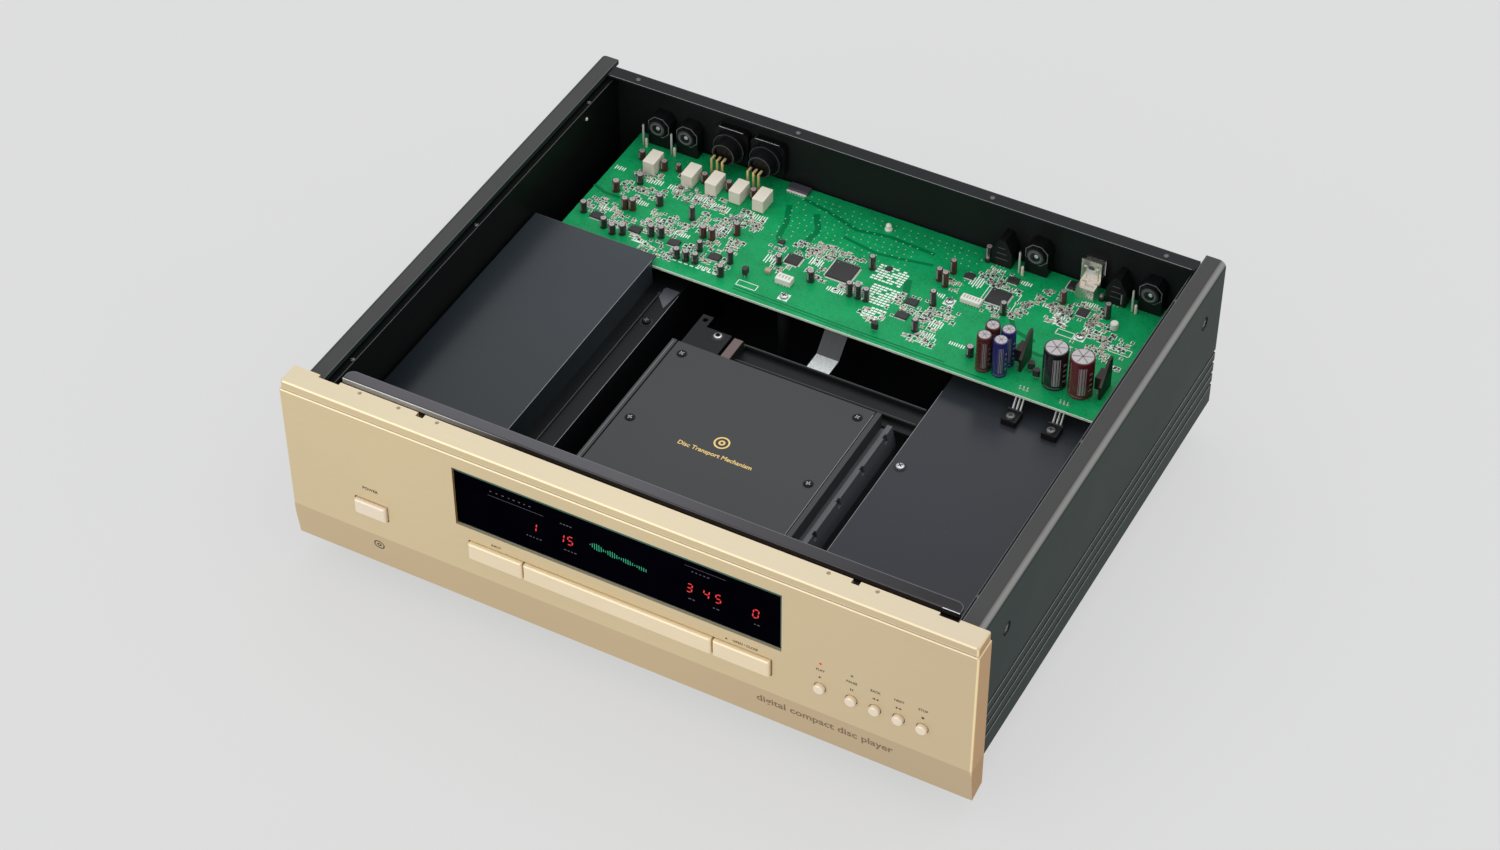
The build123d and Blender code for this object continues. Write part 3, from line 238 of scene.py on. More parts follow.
# Side panels with painted light and shade: a painted highlight along the rounded top edge, the faces that
# look right darker and the top paler.
surface("bronze_paint", (0.03, 0.037, 0.035), 0.38, mottle=0.1, grain=1800, bump=0.25, specular=0.03,
        facings=[(TO_TOP_RIGHT, 0.86, 0.99, (8.5, 6.8, 7)),
                 (TO_RIGHT, 0.9, 0.99, (0.52, 0.76, 0.7)),
                 (TO_TOP, 0.9, 0.99, (2.25, 1.82, 1.92))])
surface("dark_plated", (0.011, 0.012, 0.0125), 0.4, specular=0.16, **PLATED)
# Inner walls: a darker copy of the plated steel, painted shade inside the case.
surface("wall_plated", (0.006, 0.0066, 0.0066), 0.4, specular=0.07, **PLATED)
# Front sheet with painted shade: darker towards the right, and nearly black below the lip's top, behind the
# panel.
surface("dark_lip", (0.085, 0.082, 0.092), 0.4, mottle=0.12, grain=1500, bump=0.08,
        specular=0.28,
        ramps=[("X", -0.02, 0.19, (1, 1, 1), (0.12, 0.12, 0.15)),
               ("Z", 0.1362, 0.1364, (0.06, 0.06, 0.06), (1, 1, 1))])
# Bay covers with a painted reflection: dark at the front, paler towards the back.
surface("bay_sheet", (0.012, 0.0125, 0.0165), 0.25, rough_spread=0.03, specular=0.36, **SHEET,
        ramps=[("Y", -0.15, 0.06, (0.12, 0.1, 0.7), (2.5, 2.7, 2.4))])
surface("left_bay_sheet", (0.012, 0.016, 0.019), 0.25, rough_spread=0.03, specular=0.36, **SHEET,
        ramps=[("Y", -0.15, 0.06, (0.4, 0.55, 0.65), (2.4, 2.3, 2.3))])
# Divider in the dark tone of the left cover's shadow, painted shade; its lit corner is drawn by
# divider_patch.
surface("divider_sheet", (0.007, 0.0075, 0.009), 0.3, specular=0.15, **SHEET)
surface("mech_paint", (0.03, 0.031, 0.033), 0.52, mottle=0.1, grain=2400, bump=0.35)
surface("rail_moulding", (0.08, 0.084, 0.094), 0.34, mottle=0.1, grain=1500, bump=0.1)
surface("black_iron", (0.015, 0.015, 0.015), 0.45, mottle=0.2, grain=500, bump=0.2)
surface("dark_screw", (0.1, 0.1, 0.105), 0.25, metal=0.9, mottle=0.1, grain=2000)
surface("bright_steel", (0.62, 0.62, 0.63), 0.22, metal=1, grain=1500, stretch=BRUSHED_X)
surface("warm_nickel", (0.78, 0.73, 0.66), 0.2, metal=0.8, mottle=0.08)
surface("black_moulding", (0.007, 0.007, 0.008), 0.36, mottle=0.15, grain=1500, bump=0.15,
        specular=0.22)
surface("acetal", (0.7, 0.69, 0.64), 0.4, mottle=0.03, grain=700)
surface("belt_rubber", (0.02, 0.02, 0.02), 0.75, mottle=0.2, grain=2500, bump=0.2)
surface("solder_mask", (0.005, 0.31, 0.1), 0.3, mottle=0.22, grain=700, patch=60,
        bump=0.15, specular=0.16)
surface("board_edge", (0.62, 0.74, 0.6), 0.6, mottle=0.1)
surface("cream_case", (0.78, 0.72, 0.61), 0.35, mottle=0.04, grain=600)
surface("dark_sink", (0.02, 0.011, 0.01), 0.4, metal=0.3, mottle=0.15, grain=1200)
surface("potting", (0.02, 0.02, 0.022), 0.5, mottle=0.15, bump=0.2)
# Flat cable drawn dark all along, a painted dark reflection; its bright run is laid on separately.
surface("ribbon_film", (0.03, 0.031, 0.033), 0.22, mottle=0.25, stretch=(1, 0.03, 0.03))
surface("chip_body", (0.022, 0.02, 0.02), 0.5, bump=0.1)
surface("dark_mask", (0, 0.175, 0.055), 0.35, specular=0.1)
surface("red_sleeve", (0.1, 0.014, 0.018), 0.22, coat=0.4)
surface("blue_sleeve", (0.022, 0.02, 0.125), 0.22, coat=0.4)
surface("black_sleeve", (0.01, 0.009, 0.011), 0.18, coat=0.5)
# Painted highlight on the lip's front edge, fading out towards the middle.
surface("lip_front_highlight", (0.85, 0.85, 0.86), 0.4,
        ramps=[("X", -0.155, -0.085, (1, 1, 1), (0.06, 0.05, 0.05))])
# Painted highlight for the grooves' lower edges, and painted shade round the side screws.
surface("groove_edge", (0.27, 0.32, 0.305), 0.4, specular=0.2)
surface("screw_well", (0.004, 0.004, 0.004), 0.6, specular=0.1)
surface("screw_black", (0.006, 0.006, 0.007), 0.35, specular=0.15)
surface("felt_brown", (0.145, 0.105, 0.1), 0.8, bump=0.3)
glow("lit_red", (0.62, 0.012, 0.014), 0.62)
glow("lit_green", (0, 0.3, 0.14), 0.42)
FINE_FINISHES = {
    # colour, roughness and any metal share of the fine pieces
    "dim_print": (0.075, 0.07, 0.095, 0.5), "glass_edge": (0.012, 0.1, 0.07, 0.25),
    "glass_side": (0.05, 0.11, 0.1, 0.25), "ink": (0.055, 0.035, 0.018, 0.6),
    "band_ink": (0.2, 0.135, 0.075, 0.6), "slot_shadow": (0.3, 0.24, 0.16, 0.7),
    "edge_glint": (0.95, 0.84, 0.66, 0.3, 0.3), "edge_shadow": (0.4, 0.31, 0.19, 0.6),
    # The near-black finish that follows is painted shade, laid in the notches, behind the lip and in the
    # phono sockets' mouths.
    "shade_black": (0.006, 0.006, 0.007, 0.4), "tinned": (0.78, 0.77, 0.74, 0.3, 0.6),
    "grey_print": (0.35, 0.35, 0.35, 0.6), "white_print": (0.86, 0.93, 0.86, 0.6),
    "resistor": (0.05, 0.045, 0.045, 0.4), "ceramic": (0.45, 0.33, 0.22, 0.5),
    "can_top": (0.46, 0.42, 0.42, 0.35, 0.5), "score": (0.2, 0.15, 0.15, 0.5),
    "solder": (0.78, 0.8, 0.76, 0.4), "sleeve_print": (0.3, 0.27, 0.28, 0.5),
    "brown_sleeve": (0.075, 0.018, 0.016, 0.3), "black_can": (0.028, 0.022, 0.024, 0.28),
    "plug_white": (0.76, 0.75, 0.68, 0.4), "via_tin": (0.45, 0.6, 0.47, 0.4),
    "sleeve_band": (0.34, 0.3, 0.31, 0.4), "sleeve_glint": (0.3, 0.29, 0.3, 0.3),
    "vent_top": (0.44, 0.42, 0.43, 0.35, 0.3), "plug_shade": (0.42, 0.41, 0.37, 0.5),
    "module_grey": (0.065, 0.06, 0.075, 0.4), "silver_and_highlight": (0.6, 0.6, 0.58, 0.25, 0.8),
    "rim_grey": (0.06, 0.06, 0.066, 0.3), "rim_highlight": (0.16, 0.16, 0.17, 0.3),
    "pin_tin_and_glint": (0.62, 0.62, 0.6, 0.35, 0.3), "gold": (0.8, 0.62, 0.25, 0.3, 0.4),
    "cream_pin": (0.72, 0.66, 0.52, 0.4), "cut_edge": (0.23, 0.235, 0.245, 0.35),
    "faint_edge": (0.085, 0.087, 0.092, 0.35), "wall_edge": (0.095, 0.11, 0.118, 0.35),
    "lip_edge": (0.12, 0.12, 0.13, 0.35), "lip_end_highlight": (0.85, 0.85, 0.86, 0.4),
    "lit_patch": (0.085, 0.085, 0.1, 0.35), "screw_silver": (0.55, 0.55, 0.56, 0.25, 0.8),
    "screw_grey_and_glint": (0.16, 0.16, 0.165, 0.35, 0.5), "screw_recess_shade": (0.005, 0.005, 0.005, 0.6),
    "screw_glint": (0.34, 0.34, 0.35, 0.35, 0.5), "gold_ink": (0.86, 0.6, 0.2, 0.4),
    "foil": (0.85, 0.88, 0.88, 0.28, 0.3), "foil_gap": (0.45, 0.47, 0.48, 0.3),
}
for fine, settings in FINE_FINISHES.items():
    surface(fine, settings[:3], *settings[3:])

NODE_FINISH = {
    "champagne": "front_panel",
    "key_champagne": "power_button play_button pause_button back_button next_button stop_button",
    "bar_champagne": "left_bar_button open_button tray_front",
    "window_glass": "display_window",
    "bronze_paint": "left_side_panel right_side_panel",
    "dark_plated": "bottom_plate rear_panel mech_crossbar clamp_bridge traverse_frame",
    "wall_plated": "left_inner_wall right_inner_wall",
    "dark_lip": "front_subplate",
    "bay_sheet": "right_bay_cover",
    "left_bay_sheet": "left_bay_cover",
    "divider_sheet": "left_divider",
    "mech_paint": "mech_base mech_top_plate",
    "rail_moulding": "mech_side_rails",
    "black_iron": "foot_front_left foot_front_right foot_rear_left foot_rear_right",
    "dark_screw": "case_screws",
    "bright_steel": "guide_rods lead_screw spindle_motor sled_motor loading_motor",
    "warm_nickel": "usb_socket",
    "black_moulding": "power_switch xlr_sockets clamp_puck turntable pickup_sled disc_tray "
                      "rca_sockets optical_sockets power_transistors mains_inlet",
    "acetal": "drive_gear belt_gear motor_pulley",
    "belt_rubber": "loading_belt",
    "solder_mask": "main_board front_boards supply_board",
    "cream_case": "relays",
    "black_sleeve": "capacitors",
    "dark_sink": "heat_sinks",
    "potting": "power_transformer",
    "ribbon_film": "flat_cable",
}


def finish_nodes():
    for finish, nodes in NODE_FINISH.items():
        for node in nodes.split():
            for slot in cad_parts[node].material_slots:
                slot.material = F[finish]


# ---- mesh pieces, in millimetres
@lru_cache(maxsize=None)
def brick(dx, dy, dz, bevel=0):
    """Box standing on z = 0, with its edges cut back."""
    bm = bmesh.new()
    bmesh.ops.create_cube(bm, size=1, matrix=at(0, 0, dz / 2) @ Matrix.Diagonal((dx, dy, dz, 1)))
    if bevel:
        bmesh.ops.bevel(bm, geom=bm.edges[:], offset=bevel, segments=1, affect="EDGES")
    bm.verts.index_update()
    shape = [v.co.copy() for v in bm.verts], [[v.index for v in f.verts] for f in bm.faces]
    bm.free()
    return shape


def circle(r, z, sides):
    """Points around a level circle."""
    angles = [2 * pi * i / sides for i in range(sides)]
    return [Vector((r * cos(angle), r * sin(angle), z)) for angle in angles]


def skin(rows, sides, closed=False):
    """Faces between rows of points; the ends are filled, or the last row joined to the first."""
    faces = []
    for k in range(rows if closed else rows - 1):
        a, b = k * sides, (k + 1) % rows * sides
        for i in range(sides):
            j = (i + 1) % sides
            faces.append([a + i, a + j, b + j, b + i])
    if not closed:
        faces.append(list(reversed(range(sides))))
        faces.append([(rows - 1) * sides + i for i in range(sides)])
    return faces


@lru_cache(maxsize=None)
def turned(profile, sides=16):
    """Solid of revolution about z from (radius, height) points, closed at both ends."""
    return [v for r, z in profile for v in circle(r, z, sides)], skin(len(profile), sides)


@lru_cache(maxsize=None)
def prism(points, height):
    """Flat outline raised from z = 0."""
    count = len(points)
    verts = [Vector((x, y, 0)) for x, y in points] + [Vector((x, y, height)) for x, y in points]
    faces = [list(reversed(range(count))), list(range(count, 2 * count))]
    faces += [[i, (i + 1) % count, count + (i + 1) % count, count + i] for i in range(count)]
    return verts, faces


@lru_cache(maxsize=None)
def lettering(text, size, thick=0.03):
    """Raised letters in the default typeface, centred on the origin."""
    curve = bpy.data.curves.new("lettering", "FONT")
    curve.body = text
    curve.size = size
    curve.align_x = "CENTER"
    curve.extrude = thick
    curve.offset = size * BOLD
    curve.resolution_u = 3
    holder = bpy.data.objects.new("lettering", curve)
    mesh = bpy.data.meshes.new_from_object(holder)
    shape = [v.co.copy() for v in mesh.vertices], [list(p.vertices) for p in mesh.polygons]
    bpy.data.objects.remove(holder)
    bpy.data.curves.remove(curve)
    bpy.data.meshes.remove(mesh)
    return shape


@lru_cache(maxsize=None)
def tube(path, r, sides):
    """Round wire through the points."""
    points = [Vector(p) for p in path]
    verts = []
    for k, point in enumerate(points):
        ahead = points[min(k + 1, len(points) - 1)] - points[max(k - 1, 0)]
        turn = ahead.to_track_quat("Z", "Y")
        verts += [point + turn @ v for v in circle(r, 0, sides)]
    return verts, skin(len(points), sides)


@lru_cache(maxsize=None)
def ring(outer, inner, height, sides=24):
    """Flat washer on z = 0."""
    profile = (outer, 0), (outer, height), (inner, height), (inner, 0)
    return [v for r, z in profile for v in circle(r, z, sides)], skin(len(profile), sides, closed=True)


UPRIGHT = Matrix.Rotation(radians(90), 4, "X")        # a flat drawing turned to face the front


def at(x, y, z, turn=0):
    """Place in millimetres, turned about z by degrees."""
    return Matrix.Translation((x, y, z)) @ Matrix.Rotation(radians(turn), 4, "Z")


class Piece:
    """One mesh in the making: shapes in millimetres, each with its finish."""

    def __init__(self, name):
        self.name = name
        self.verts, self.faces, self.marks, self.finishes = [], [], [], []

    def add(self, shape, place, finish):
        verts, faces = shape
        base = len(self.verts)
        if finish not in self.finishes:
            self.finishes.append(finish)
        mark = self.finishes.index(finish)
        self.verts += [(place @ v) * MM for v in verts]
        self.faces += [[base + i for i in face] for face in faces]
        self.marks += [mark] * len(faces)

    def block(self, size, place, finish):
        self.add(brick(*size), place, finish)

    def make(self, body="case"):
        mesh = bpy.data.meshes.new(self.name)
        mesh.from_pydata(self.verts, [], self.faces)
        for finish in self.finishes:
            mesh.materials.append(F[finish])
        mesh.polygons.foreach_set("material_index", self.marks)
        mesh.polygons.foreach_set("use_smooth", [True] * len(self.faces))
        bm = bmesh.new()
        bm.from_mesh(mesh)
        bmesh.ops.recalc_face_normals(bm, faces=bm.faces[:])
        for edge in bm.edges:
            edge.smooth = edge.calc_face_angle(0) < SHARP_ANGLE
        bm.to_mesh(mesh)
        bm.free()
        piece = bpy.data.objects.new(self.name, mesh)
        bpy.context.collection.objects.link(piece)
        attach(piece, body)
        return piece


# ---- front
FACE_Y = -193.5
GLASS_Y = -191.5
WINDOW_X, WINDOW_WIDE = -0.95, 219.9
INK_LIFT = 0.02
SEGMENTS = {"0": "abcdef", "1": "bc", "3": "abcdg", "4": "bcfg", "5": "acdfg"}
FIGURE_WIDE, FIGURE_TALL, STROKE = 3.4, 6.8, 0.85
SLANT = Matrix(((1, 0.14, 0, 0), (0, 1, 0, 0), (0, 0, 1, 0), (0, 0, 0, 1)))
LEGEND_Z, ICON_Z = 82, 76.6
CAPTIONS = (
    # x, z, words and step of the faint words on the window
    (-86, 122.5, 4, 4.2), (-70, 122.5, 4, 3.6), (-62, 97.5, 5, 2.3), (-36, 97.5, 4, 2.3),
    (48, 97.5, 2, 2.6), (64, 97.5, 2, 2.6), (91, 97.5, 2, 2.2), (50, 121, 5, 2.6), (-38, 118.5, 4, 2.2),
)
LEGENDS = (
    # text, x, z and letter size beside the keys
    ("POWER", -172.6, 83.6, 3.2), ("INPUT", -83.6, 77.6, 2.4), ("OPEN / CLOSE", 85.5, 77.6, 2.6),
    ("PLAY", 134.6, LEGEND_Z, 2.5), ("PAUSE", 154.9, LEGEND_Z, 2.5), ("BACK", 170.1, LEGEND_Z, 2.5),
    ("NEXT", 185.2, LEGEND_Z, 2.5), ("STOP", 200.4, LEGEND_Z, 2.5),
)


def flat_on_front(x, z, y):
    """Place of a flat drawing on a face that looks to the front."""
    return at(x, y, z) @ UPRIGHT


def on_face(x, z):
    return flat_on_front(x, z, FACE_Y - INK_LIFT)


def on_glass(x, z):
    return flat_on_front(x, z, GLASS_Y - INK_LIFT)


def digit(piece, x, z, figure):
    """Slanted seven-segment figure on the window."""
    half_w, half_h, tip = FIGURE_WIDE / 2, FIGURE_TALL / 2, STROKE / 2
    places = {
        "a": (0, half_h, 0), "g": (0, 0, 0), "d": (0, -half_h, 0),
        "b": (half_w, half_h / 2, 1), "c": (half_w, -half_h / 2, 1),
        "f": (-half_w, half_h / 2, 1), "e": (-half_w, -half_h / 2, 1),
    }
    for name in SEGMENTS[figure]:
        dx, dz, stands = places[name]
        half = ((half_h if stands else FIGURE_WIDE) - STROKE * 0.9) / 2
        outline = ((-half, 0), (tip - half, -tip), (half - tip, -tip),
                   (half, 0), (half - tip, tip), (tip - half, tip))
        piece.add(prism(outline, 0.05), on_glass(x, z) @ SLANT @ at(dx, dz, 0, 90 * stands), "lit_red")


def display():
    """Lit figures, faint captions and a green wave mark on the window."""
    lit = Piece("display_figures")
    for x, figure in ((-57.1, "1"), (-38.3, "1"), (-32.2, "5"), (47.8, "3"), (59, "4"), (66.9, "5"),
                      (91.5, "0")):
        digit(lit, x, 106.5, figure)
    lit.make()

    captions = Piece("display_captions")
    for x, z, count, step in CAPTIONS:
        for i in range(count):
            wide = 1 + 0.8 * RNG.random()
            captions.block((wide, 0.7, 0.03), on_glass(x + i * step, z), "dim_print")
    for x0, x1, z in ((-88, -50, 118.8), (45, 72, 124.5)):
        captions.block((x1 - x0, 0.25, 0.03), on_glass((x0 + x1) / 2, z), "dim_print")
    captions.make()

    mark = Piece("display_wave_mark")
    for i in range(26):
        tall = 0.9 + 5.2 * abs(sin(i * 0.47)) * (1 - i / 40)
        mark.block((0.55, tall, 0.05, 0.02), on_glass(-18.5 + 1.5 * i, 110.5 - 0.16 * i), "lit_green")
    mark.make()


def window_bevel():
    """Cut edge of the window glass in its green tint, brightened as painted highlights along the top, right
    and bottom.
    """
    edge = Piece("window_bevel")
    for wide, tall, x, z, finish in ((WINDOW_WIDE, 1.5, WINDOW_X, 129.6, "glass_edge"),
                                     (0.7, 43, 107.9, 108, "glass_side"),
                                     (WINDOW_WIDE, 0.35, WINDOW_X, 85.7, "glass_side")):
        edge.block((wide, tall, 0.05, 0.02), flat_on_front(x, z, GLASS_Y - 0.01), finish)
    edge.make()


# x, width and depth of the notches behind the panel, filled with painted shade
NOTCHES = ((-205.25, 14.5, 2.4), (-140.7, 5, 3.4), (148.5, 5, 3.4), (206.75, 12.5, 2.4))


def front_print():
    """Key legends, the lower band's title, a plain disc mark and the lit play lamp."""
    ink = Piece("front_legends")
    for text, x, z, size in LEGENDS:
        ink.add(lettering(text, size), on_face(x, z), "ink")
    arrow = ((-0.9, -0.9), (0.9, 0), (-0.9, 0.9))
    back = tuple((-x, -y) for x, y in arrow)
    up = ((-0.9, -0.8), (0.9, -0.8), (0, 0.8))
    for x, z, outline in ((134.6, ICON_Z, arrow), (169, ICON_Z, back), (171.2, ICON_Z, back),
                          (184.1, ICON_Z, arrow), (186.3, ICON_Z, arrow), (73, 78.4, up)):
        ink.add(prism(outline, 0.03), on_face(x, z), "ink")
    for x, wide, tall in ((154.3, 0.6, 1.7), (155.5, 0.6, 1.7), (200.4, 1.6, 1.6)):
        ink.block((wide, tall, 0.03), on_face(x, ICON_Z), "ink")
    ink.make()

    title = Piece("lower_band_title")
    title.add(lettering("digital compact disc player", 8.4, 0.02), on_low_band(137, 34), "band_ink")
    disc_mark(title, on_low_band(-171, 37.2), 3.8, "ink")
    title.make()

    trim = Piece("front_panel_light_lines")
    # Painted highlight along the top front chamfer and painted shade in the step below it.
    for tall, z, finish in ((0.4, 143.3, "edge_glint"), (0.35, 142.8, "edge_shadow")):
        trim.block((460, tall, 0.02), flat_on_front(0, z, -192.51), finish)
    for x, wide, deep in NOTCHES:
        # Painted shade filling each notch.
        trim.block((wide - 0.1, deep - 0.1, 0.03), at(x, -176.9 - deep / 2, 144), "shade_black")
    trim.make()

    dimples = Piece("panel_top_marks")
    for x in (-182.9, -155.6, -128.6, 131.6, 162.5):
        dimples.add(turned(((1.25, 0), (1.1, 0.05), (0.5, 0.08))), at(x, -179.4, 148.7), "slot_shadow")
    dimples.make()

    lamp = Piece("play_lamp")
    lamp.add(turned(((0.85, 0), (0.8, 0.3), (0.5, 0.5))), flat_on_front(134.6, 88.2, FACE_Y + 0.3), "lit_red")
    lamp.make()


def on_low_band(x, z):
    """Place of a flat drawing on the band that slopes back below the face."""
    slope = 3.6 / 28.5
    y = FACE_Y + (46.5 - z) * slope - INK_LIFT
    return at(x, y, z) @ Matrix.Rotation(atan2(slope, 1), 4, "X") @ UPRIGHT


def disc_mark(piece, place, r, finish):
    """Plain sign of a disc: two rings in one plane."""
    for outer, inner in ((r, r * 0.78), (r * 0.42, r * 0.2)):
        piece.add(ring(outer, inner, 0.03), place, finish)


# ---- main board
BOARD_Z = 98
INK_RISE = 0.005
CHIP_TALL, LEAD_PITCH = 1.4, 0.9


def chip(piece, x, y, side_x, side_y, all_round, lead):
    """Flat package with bright leads along its sides."""
    place = at(x, y, BOARD_Z)
    piece.block((side_x, side_y, CHIP_TALL, 0.15), place @ at(0, 0, 0.15), "chip_body")
    ways = [(side_x, side_y, 0), (side_y, side_x, 90)] if all_round else [(side_x, side_y, 0)]
    for along, across, spin in ways:
        count = int((along - 0.8) / LEAD_PITCH)
        for side in (-1, 1):
            edge = place @ at(0, 0, 0, spin) @ at(0, side * (across + lead) / 2, 0.02)
            piece.block((along - 0.6, lead, 0.1), edge, "solder")
            for i in range(count):
                dx = (i - (count - 1) / 2) * LEAD_PITCH
                piece.block((LEAD_PITCH * 0.45, lead, 0.35), edge @ at(dx, 0, 0.01), "tinned")
    dot = place @ at(-side_x * 0.36, side_y * 0.36, CHIP_TALL + 0.15)
    piece.add(turned(((0.35, 0), (0.35, 0.02)), 10), dot, "grey_print")


def can(piece, x, y, r, height, finish):
    """Small electrolytic with a crimped foot and a scored silver top."""
    r *= 0.8
    profile = ((r, 0), (r, 0.8), (r - 0.2, 1.1), (r - 0.2, 1.5), (r, 1.8), (r, height - 0.4),
               (r - 0.4, height))
    piece.add(turned(profile, 14), at(x, y, BOARD_Z), finish)
    top = at(x, y, BOARD_Z + height - 0.02)
    piece.add(turned(((r - 0.45, 0), (r - 0.55, 0.08)), 14), top, "can_top")
    for size in ((2 * r - 1.6, 0.25, 0.1), (0.25, 2 * r - 1.6, 0.1)):
        piece.block(size, top @ Matrix.Rotation(0.6, 4, "Z"), "score")
    stripe = at(x, y, BOARD_Z + 2.2, 250) @ at(r - 0.06, 0, 0)
    piece.block((0.12, r * 0.5, height - 3), stripe, "sleeve_print")


def small_part(piece, x, y, turn, kind):
    """Chip resistor or capacitor with bright ends between two white lines."""
    place = at(x, y, BOARD_Z + 0.03, turn)
    size = 1 if kind < 0.6 else 1.5
    body = "resistor" if kind < 0.45 else "ceramic" if kind < 0.8 else "chip_body"
    piece.block((1.3 * size, size, 0.6), place, body)
    for side in (-1, 1):
        piece.block((0.4 * size, 1.05 * size, 0.65), place @ at(side * 0.85 * size, 0, 0), "tinned")
        piece.block((2.7 * size, 0.42, 0.02), place @ at(0, side * size, -0.02), "white_print")


CLUSTERS = (
    # x, y, half width, half depth, how many
    (-161.9, 134.3, 9, 5, 22), (-158.1, 115.9, 16, 8, 46), (-120.5, 128, 20, 6, 60),
    (-82, 124, 10, 8, 40), (-173, 88, 12, 10, 50), (-150, 82, 14, 10, 60), (-128, 95, 14, 10, 60),
    (-101, 108, 14, 10, 60), (-86, 92, 12, 12, 60), (-99, 76, 16, 8, 60), (-120, 74, 12, 10, 40),
    (-76, 75, 7, 8, 24), (-33.7, 113, 10, 8, 40), (-22.3, 119, 10, 7, 34), (-44, 95, 7, 9, 24),
    (-18, 96, 8, 8, 26), (7, 96, 9, 8, 40), (-8, 121, 12, 4, 24), (49.1, 96, 14, 12, 56),
    (67, 76, 10, 8, 26), (69.7, 98.9, 10, 9, 34), (83.5, 150, 10, 9, 30), (94, 141, 12, 4, 24),
    (110, 128, 7, 10, 30), (94, 118, 12, 4, 22), (148, 143, 12, 9, 50), (135.2, 133.9, 9, 8, 34),
    (163.7, 132, 10, 8, 36), (179.1, 126, 9, 7, 26), (123.5, 146.4, 8, 8, 26), (60, 132, 8, 12, 26),
    (160, 112, 14, 6, 22), (182, 110, 8, 8, 14), (-52, 110, 7, 8, 16), (30, 78, 8, 5, 12),
    (-140, 138, 4, 6, 10),
)
CHIPS = (
    # x, y, width, depth, all round
    (-4.6, 106.4, 17, 17, True), (-37.8, 102, 9.5, 9, True), (94.4, 131, 13.5, 13.5, True),
    (147.8, 143.3, 7, 7, True), (47.8, 86.8, 8, 6, False), (47.7, 101.1, 8, 6, False),
    (69.3, 141.3, 6.5, 5, False), (96.2, 150.4, 7.5, 5.5, False), (-142.7, 80.1, 8, 6, False),
    (-84, 80.4, 8, 6, False), (-172.4, 80.5, 8, 6, False), (-114.1, 80.3, 8, 6, False),
    (-52.7, 113.9, 4, 3.5, False), (20.5, 123, 4, 3.5, False), (101.6, 108, 6, 4.5, False),
)
CANS = {
    # x, y, radius and height of the small cans, by sleeve
    "brown_sleeve": (
        (-175.3, 146.3, 3, 7), (-156.5, 142.9, 3, 8), (-147.4, 146.2, 2.5, 6), (-126.4, 144, 3, 8),
        (-108.3, 144.5, 3, 8), (-90.3, 145, 3, 8), (-173.9, 109, 3.2, 9), (-160, 96.2, 3, 9),
        (-154.9, 97.4, 3, 9), (-100.8, 95.1, 3, 9), (-94.6, 95.7, 3, 9), (-82.4, 107.4, 3, 10),
        (59.3, 125.4, 2.8, 12), (58.4, 139.7, 2.8, 11), (53.4, 129, 2.8, 10), (132.5, 146.5, 2.8, 10),
    ),
    "black_can": (
        (-182.1, 80.4, 3, 9), (-162.7, 73.1, 3, 8), (-154.8, 70.1, 3, 8), (-148.6, 72.8, 3, 8),
        (-131.3, 80.2, 3, 9), (-124.7, 81.9, 3, 9), (-141.4, 109.7, 3.2, 9), (-115.5, 107, 2.6, 11),
        (-73, 80.6, 2.8, 10), (-72.4, 66.5, 3, 9), (-106, 68.9, 3, 8), (-99.5, 69.4, 3, 8),
        (-93, 70.1, 3, 8), (-96.1, 81.9, 2.6, 8), (-163.8, 123.1, 3, 8), (-18.9, 89.3, 3.2, 9),
        (10.6, 118.6, 2.8, 11), (9.2, 88.6, 2.8, 11), (15, 89, 2.8, 11), (20.8, 89.2, 2.8, 10),
        (-44.8, 94.8, 2.6, 7), (60.3, 105.6, 2.8, 12), (103.5, 118.7, 2.8, 10), (61, 78, 2.8, 10),
        (163.2, 146.5, 2.8, 12), (167.1, 162, 2.8, 11), (72.7, 162.8, 2.8, 11), (101.6, 73.5, 3.2, 8),
        (148.6, 84.6, 2.8, 9),
    ),
}


def board_parts():
    """Everything small that is soldered on the main board."""
    chips = Piece("board_chips")
    for x, y, wide, deep, all_round in CHIPS:
        chip(chips, x, y, wide, deep, all_round, lead=1.3 if wide > 9 else 0.9)
    chips.make()

    cans = Piece("board_small_cans")
    for sleeve, places in CANS.items():
        for x, y, r, height in places:
            can(cans, x, y, r, height, sleeve)
    cans.make()

    small = Piece("board_small_parts")
    for x, y, half_x, half_y, count in CLUSTERS:
        for _ in range(count):
            spot_x = x + half_x * (2 * RNG.random() - 1)
            spot_y = y + half_y * (2 * RNG.random() - 1)
            if free(spot_x, spot_y):
                small_part(small, spot_x, spot_y, RNG.choice((0, 90)), RNG.random())
    small.make()

    vias = Piece("board_vias")
    for row in range(11):
        for column in range(26):
            x = -62 + 5.2 * column + 1.2 * (row % 2)
            y = 118 + 4.6 * row
            if x + y > 40 and RNG.random() < 0.8 and not (30 < x < 66 and y < 150):
                vias.add(turned(((0.45, 0), (0.45, 0.02)), 8), at(x, y, BOARD_Z + 0.02), "via_tin")
    vias.make()


def free(x, y):
    """True where no chip or can stands."""
    for cx, cy, wide, deep, _ in CHIPS:
        if abs(x - cx) < wide / 2 + 2 and abs(y - cy) < deep / 2 + 2:
            return False
    cans = CANS["brown_sleeve"] + CANS["black_can"]
    return all((x - cx) ** 2 + (y - cy) ** 2 > (r + 1.2) ** 2 for cx, cy, r, _ in cans)


def band(points, width, height):
    """Flat strip of even width along a line of points."""
    left, right = [], []
    for k, (x, y) in enumerate(points):
        ax, ay = points[max(k - 1, 0)]
        bx, by = points[min(k + 1, len(points) - 1)]
        length = hypot(bx - ax, by - ay)
        nx, ny = -(by - ay) / length * width / 2, (bx - ax) / length * width / 2
        left.append((x + nx, y + ny))
        right.append((x - nx, y - ny))
    return prism(tuple(left + right[::-1]), height)


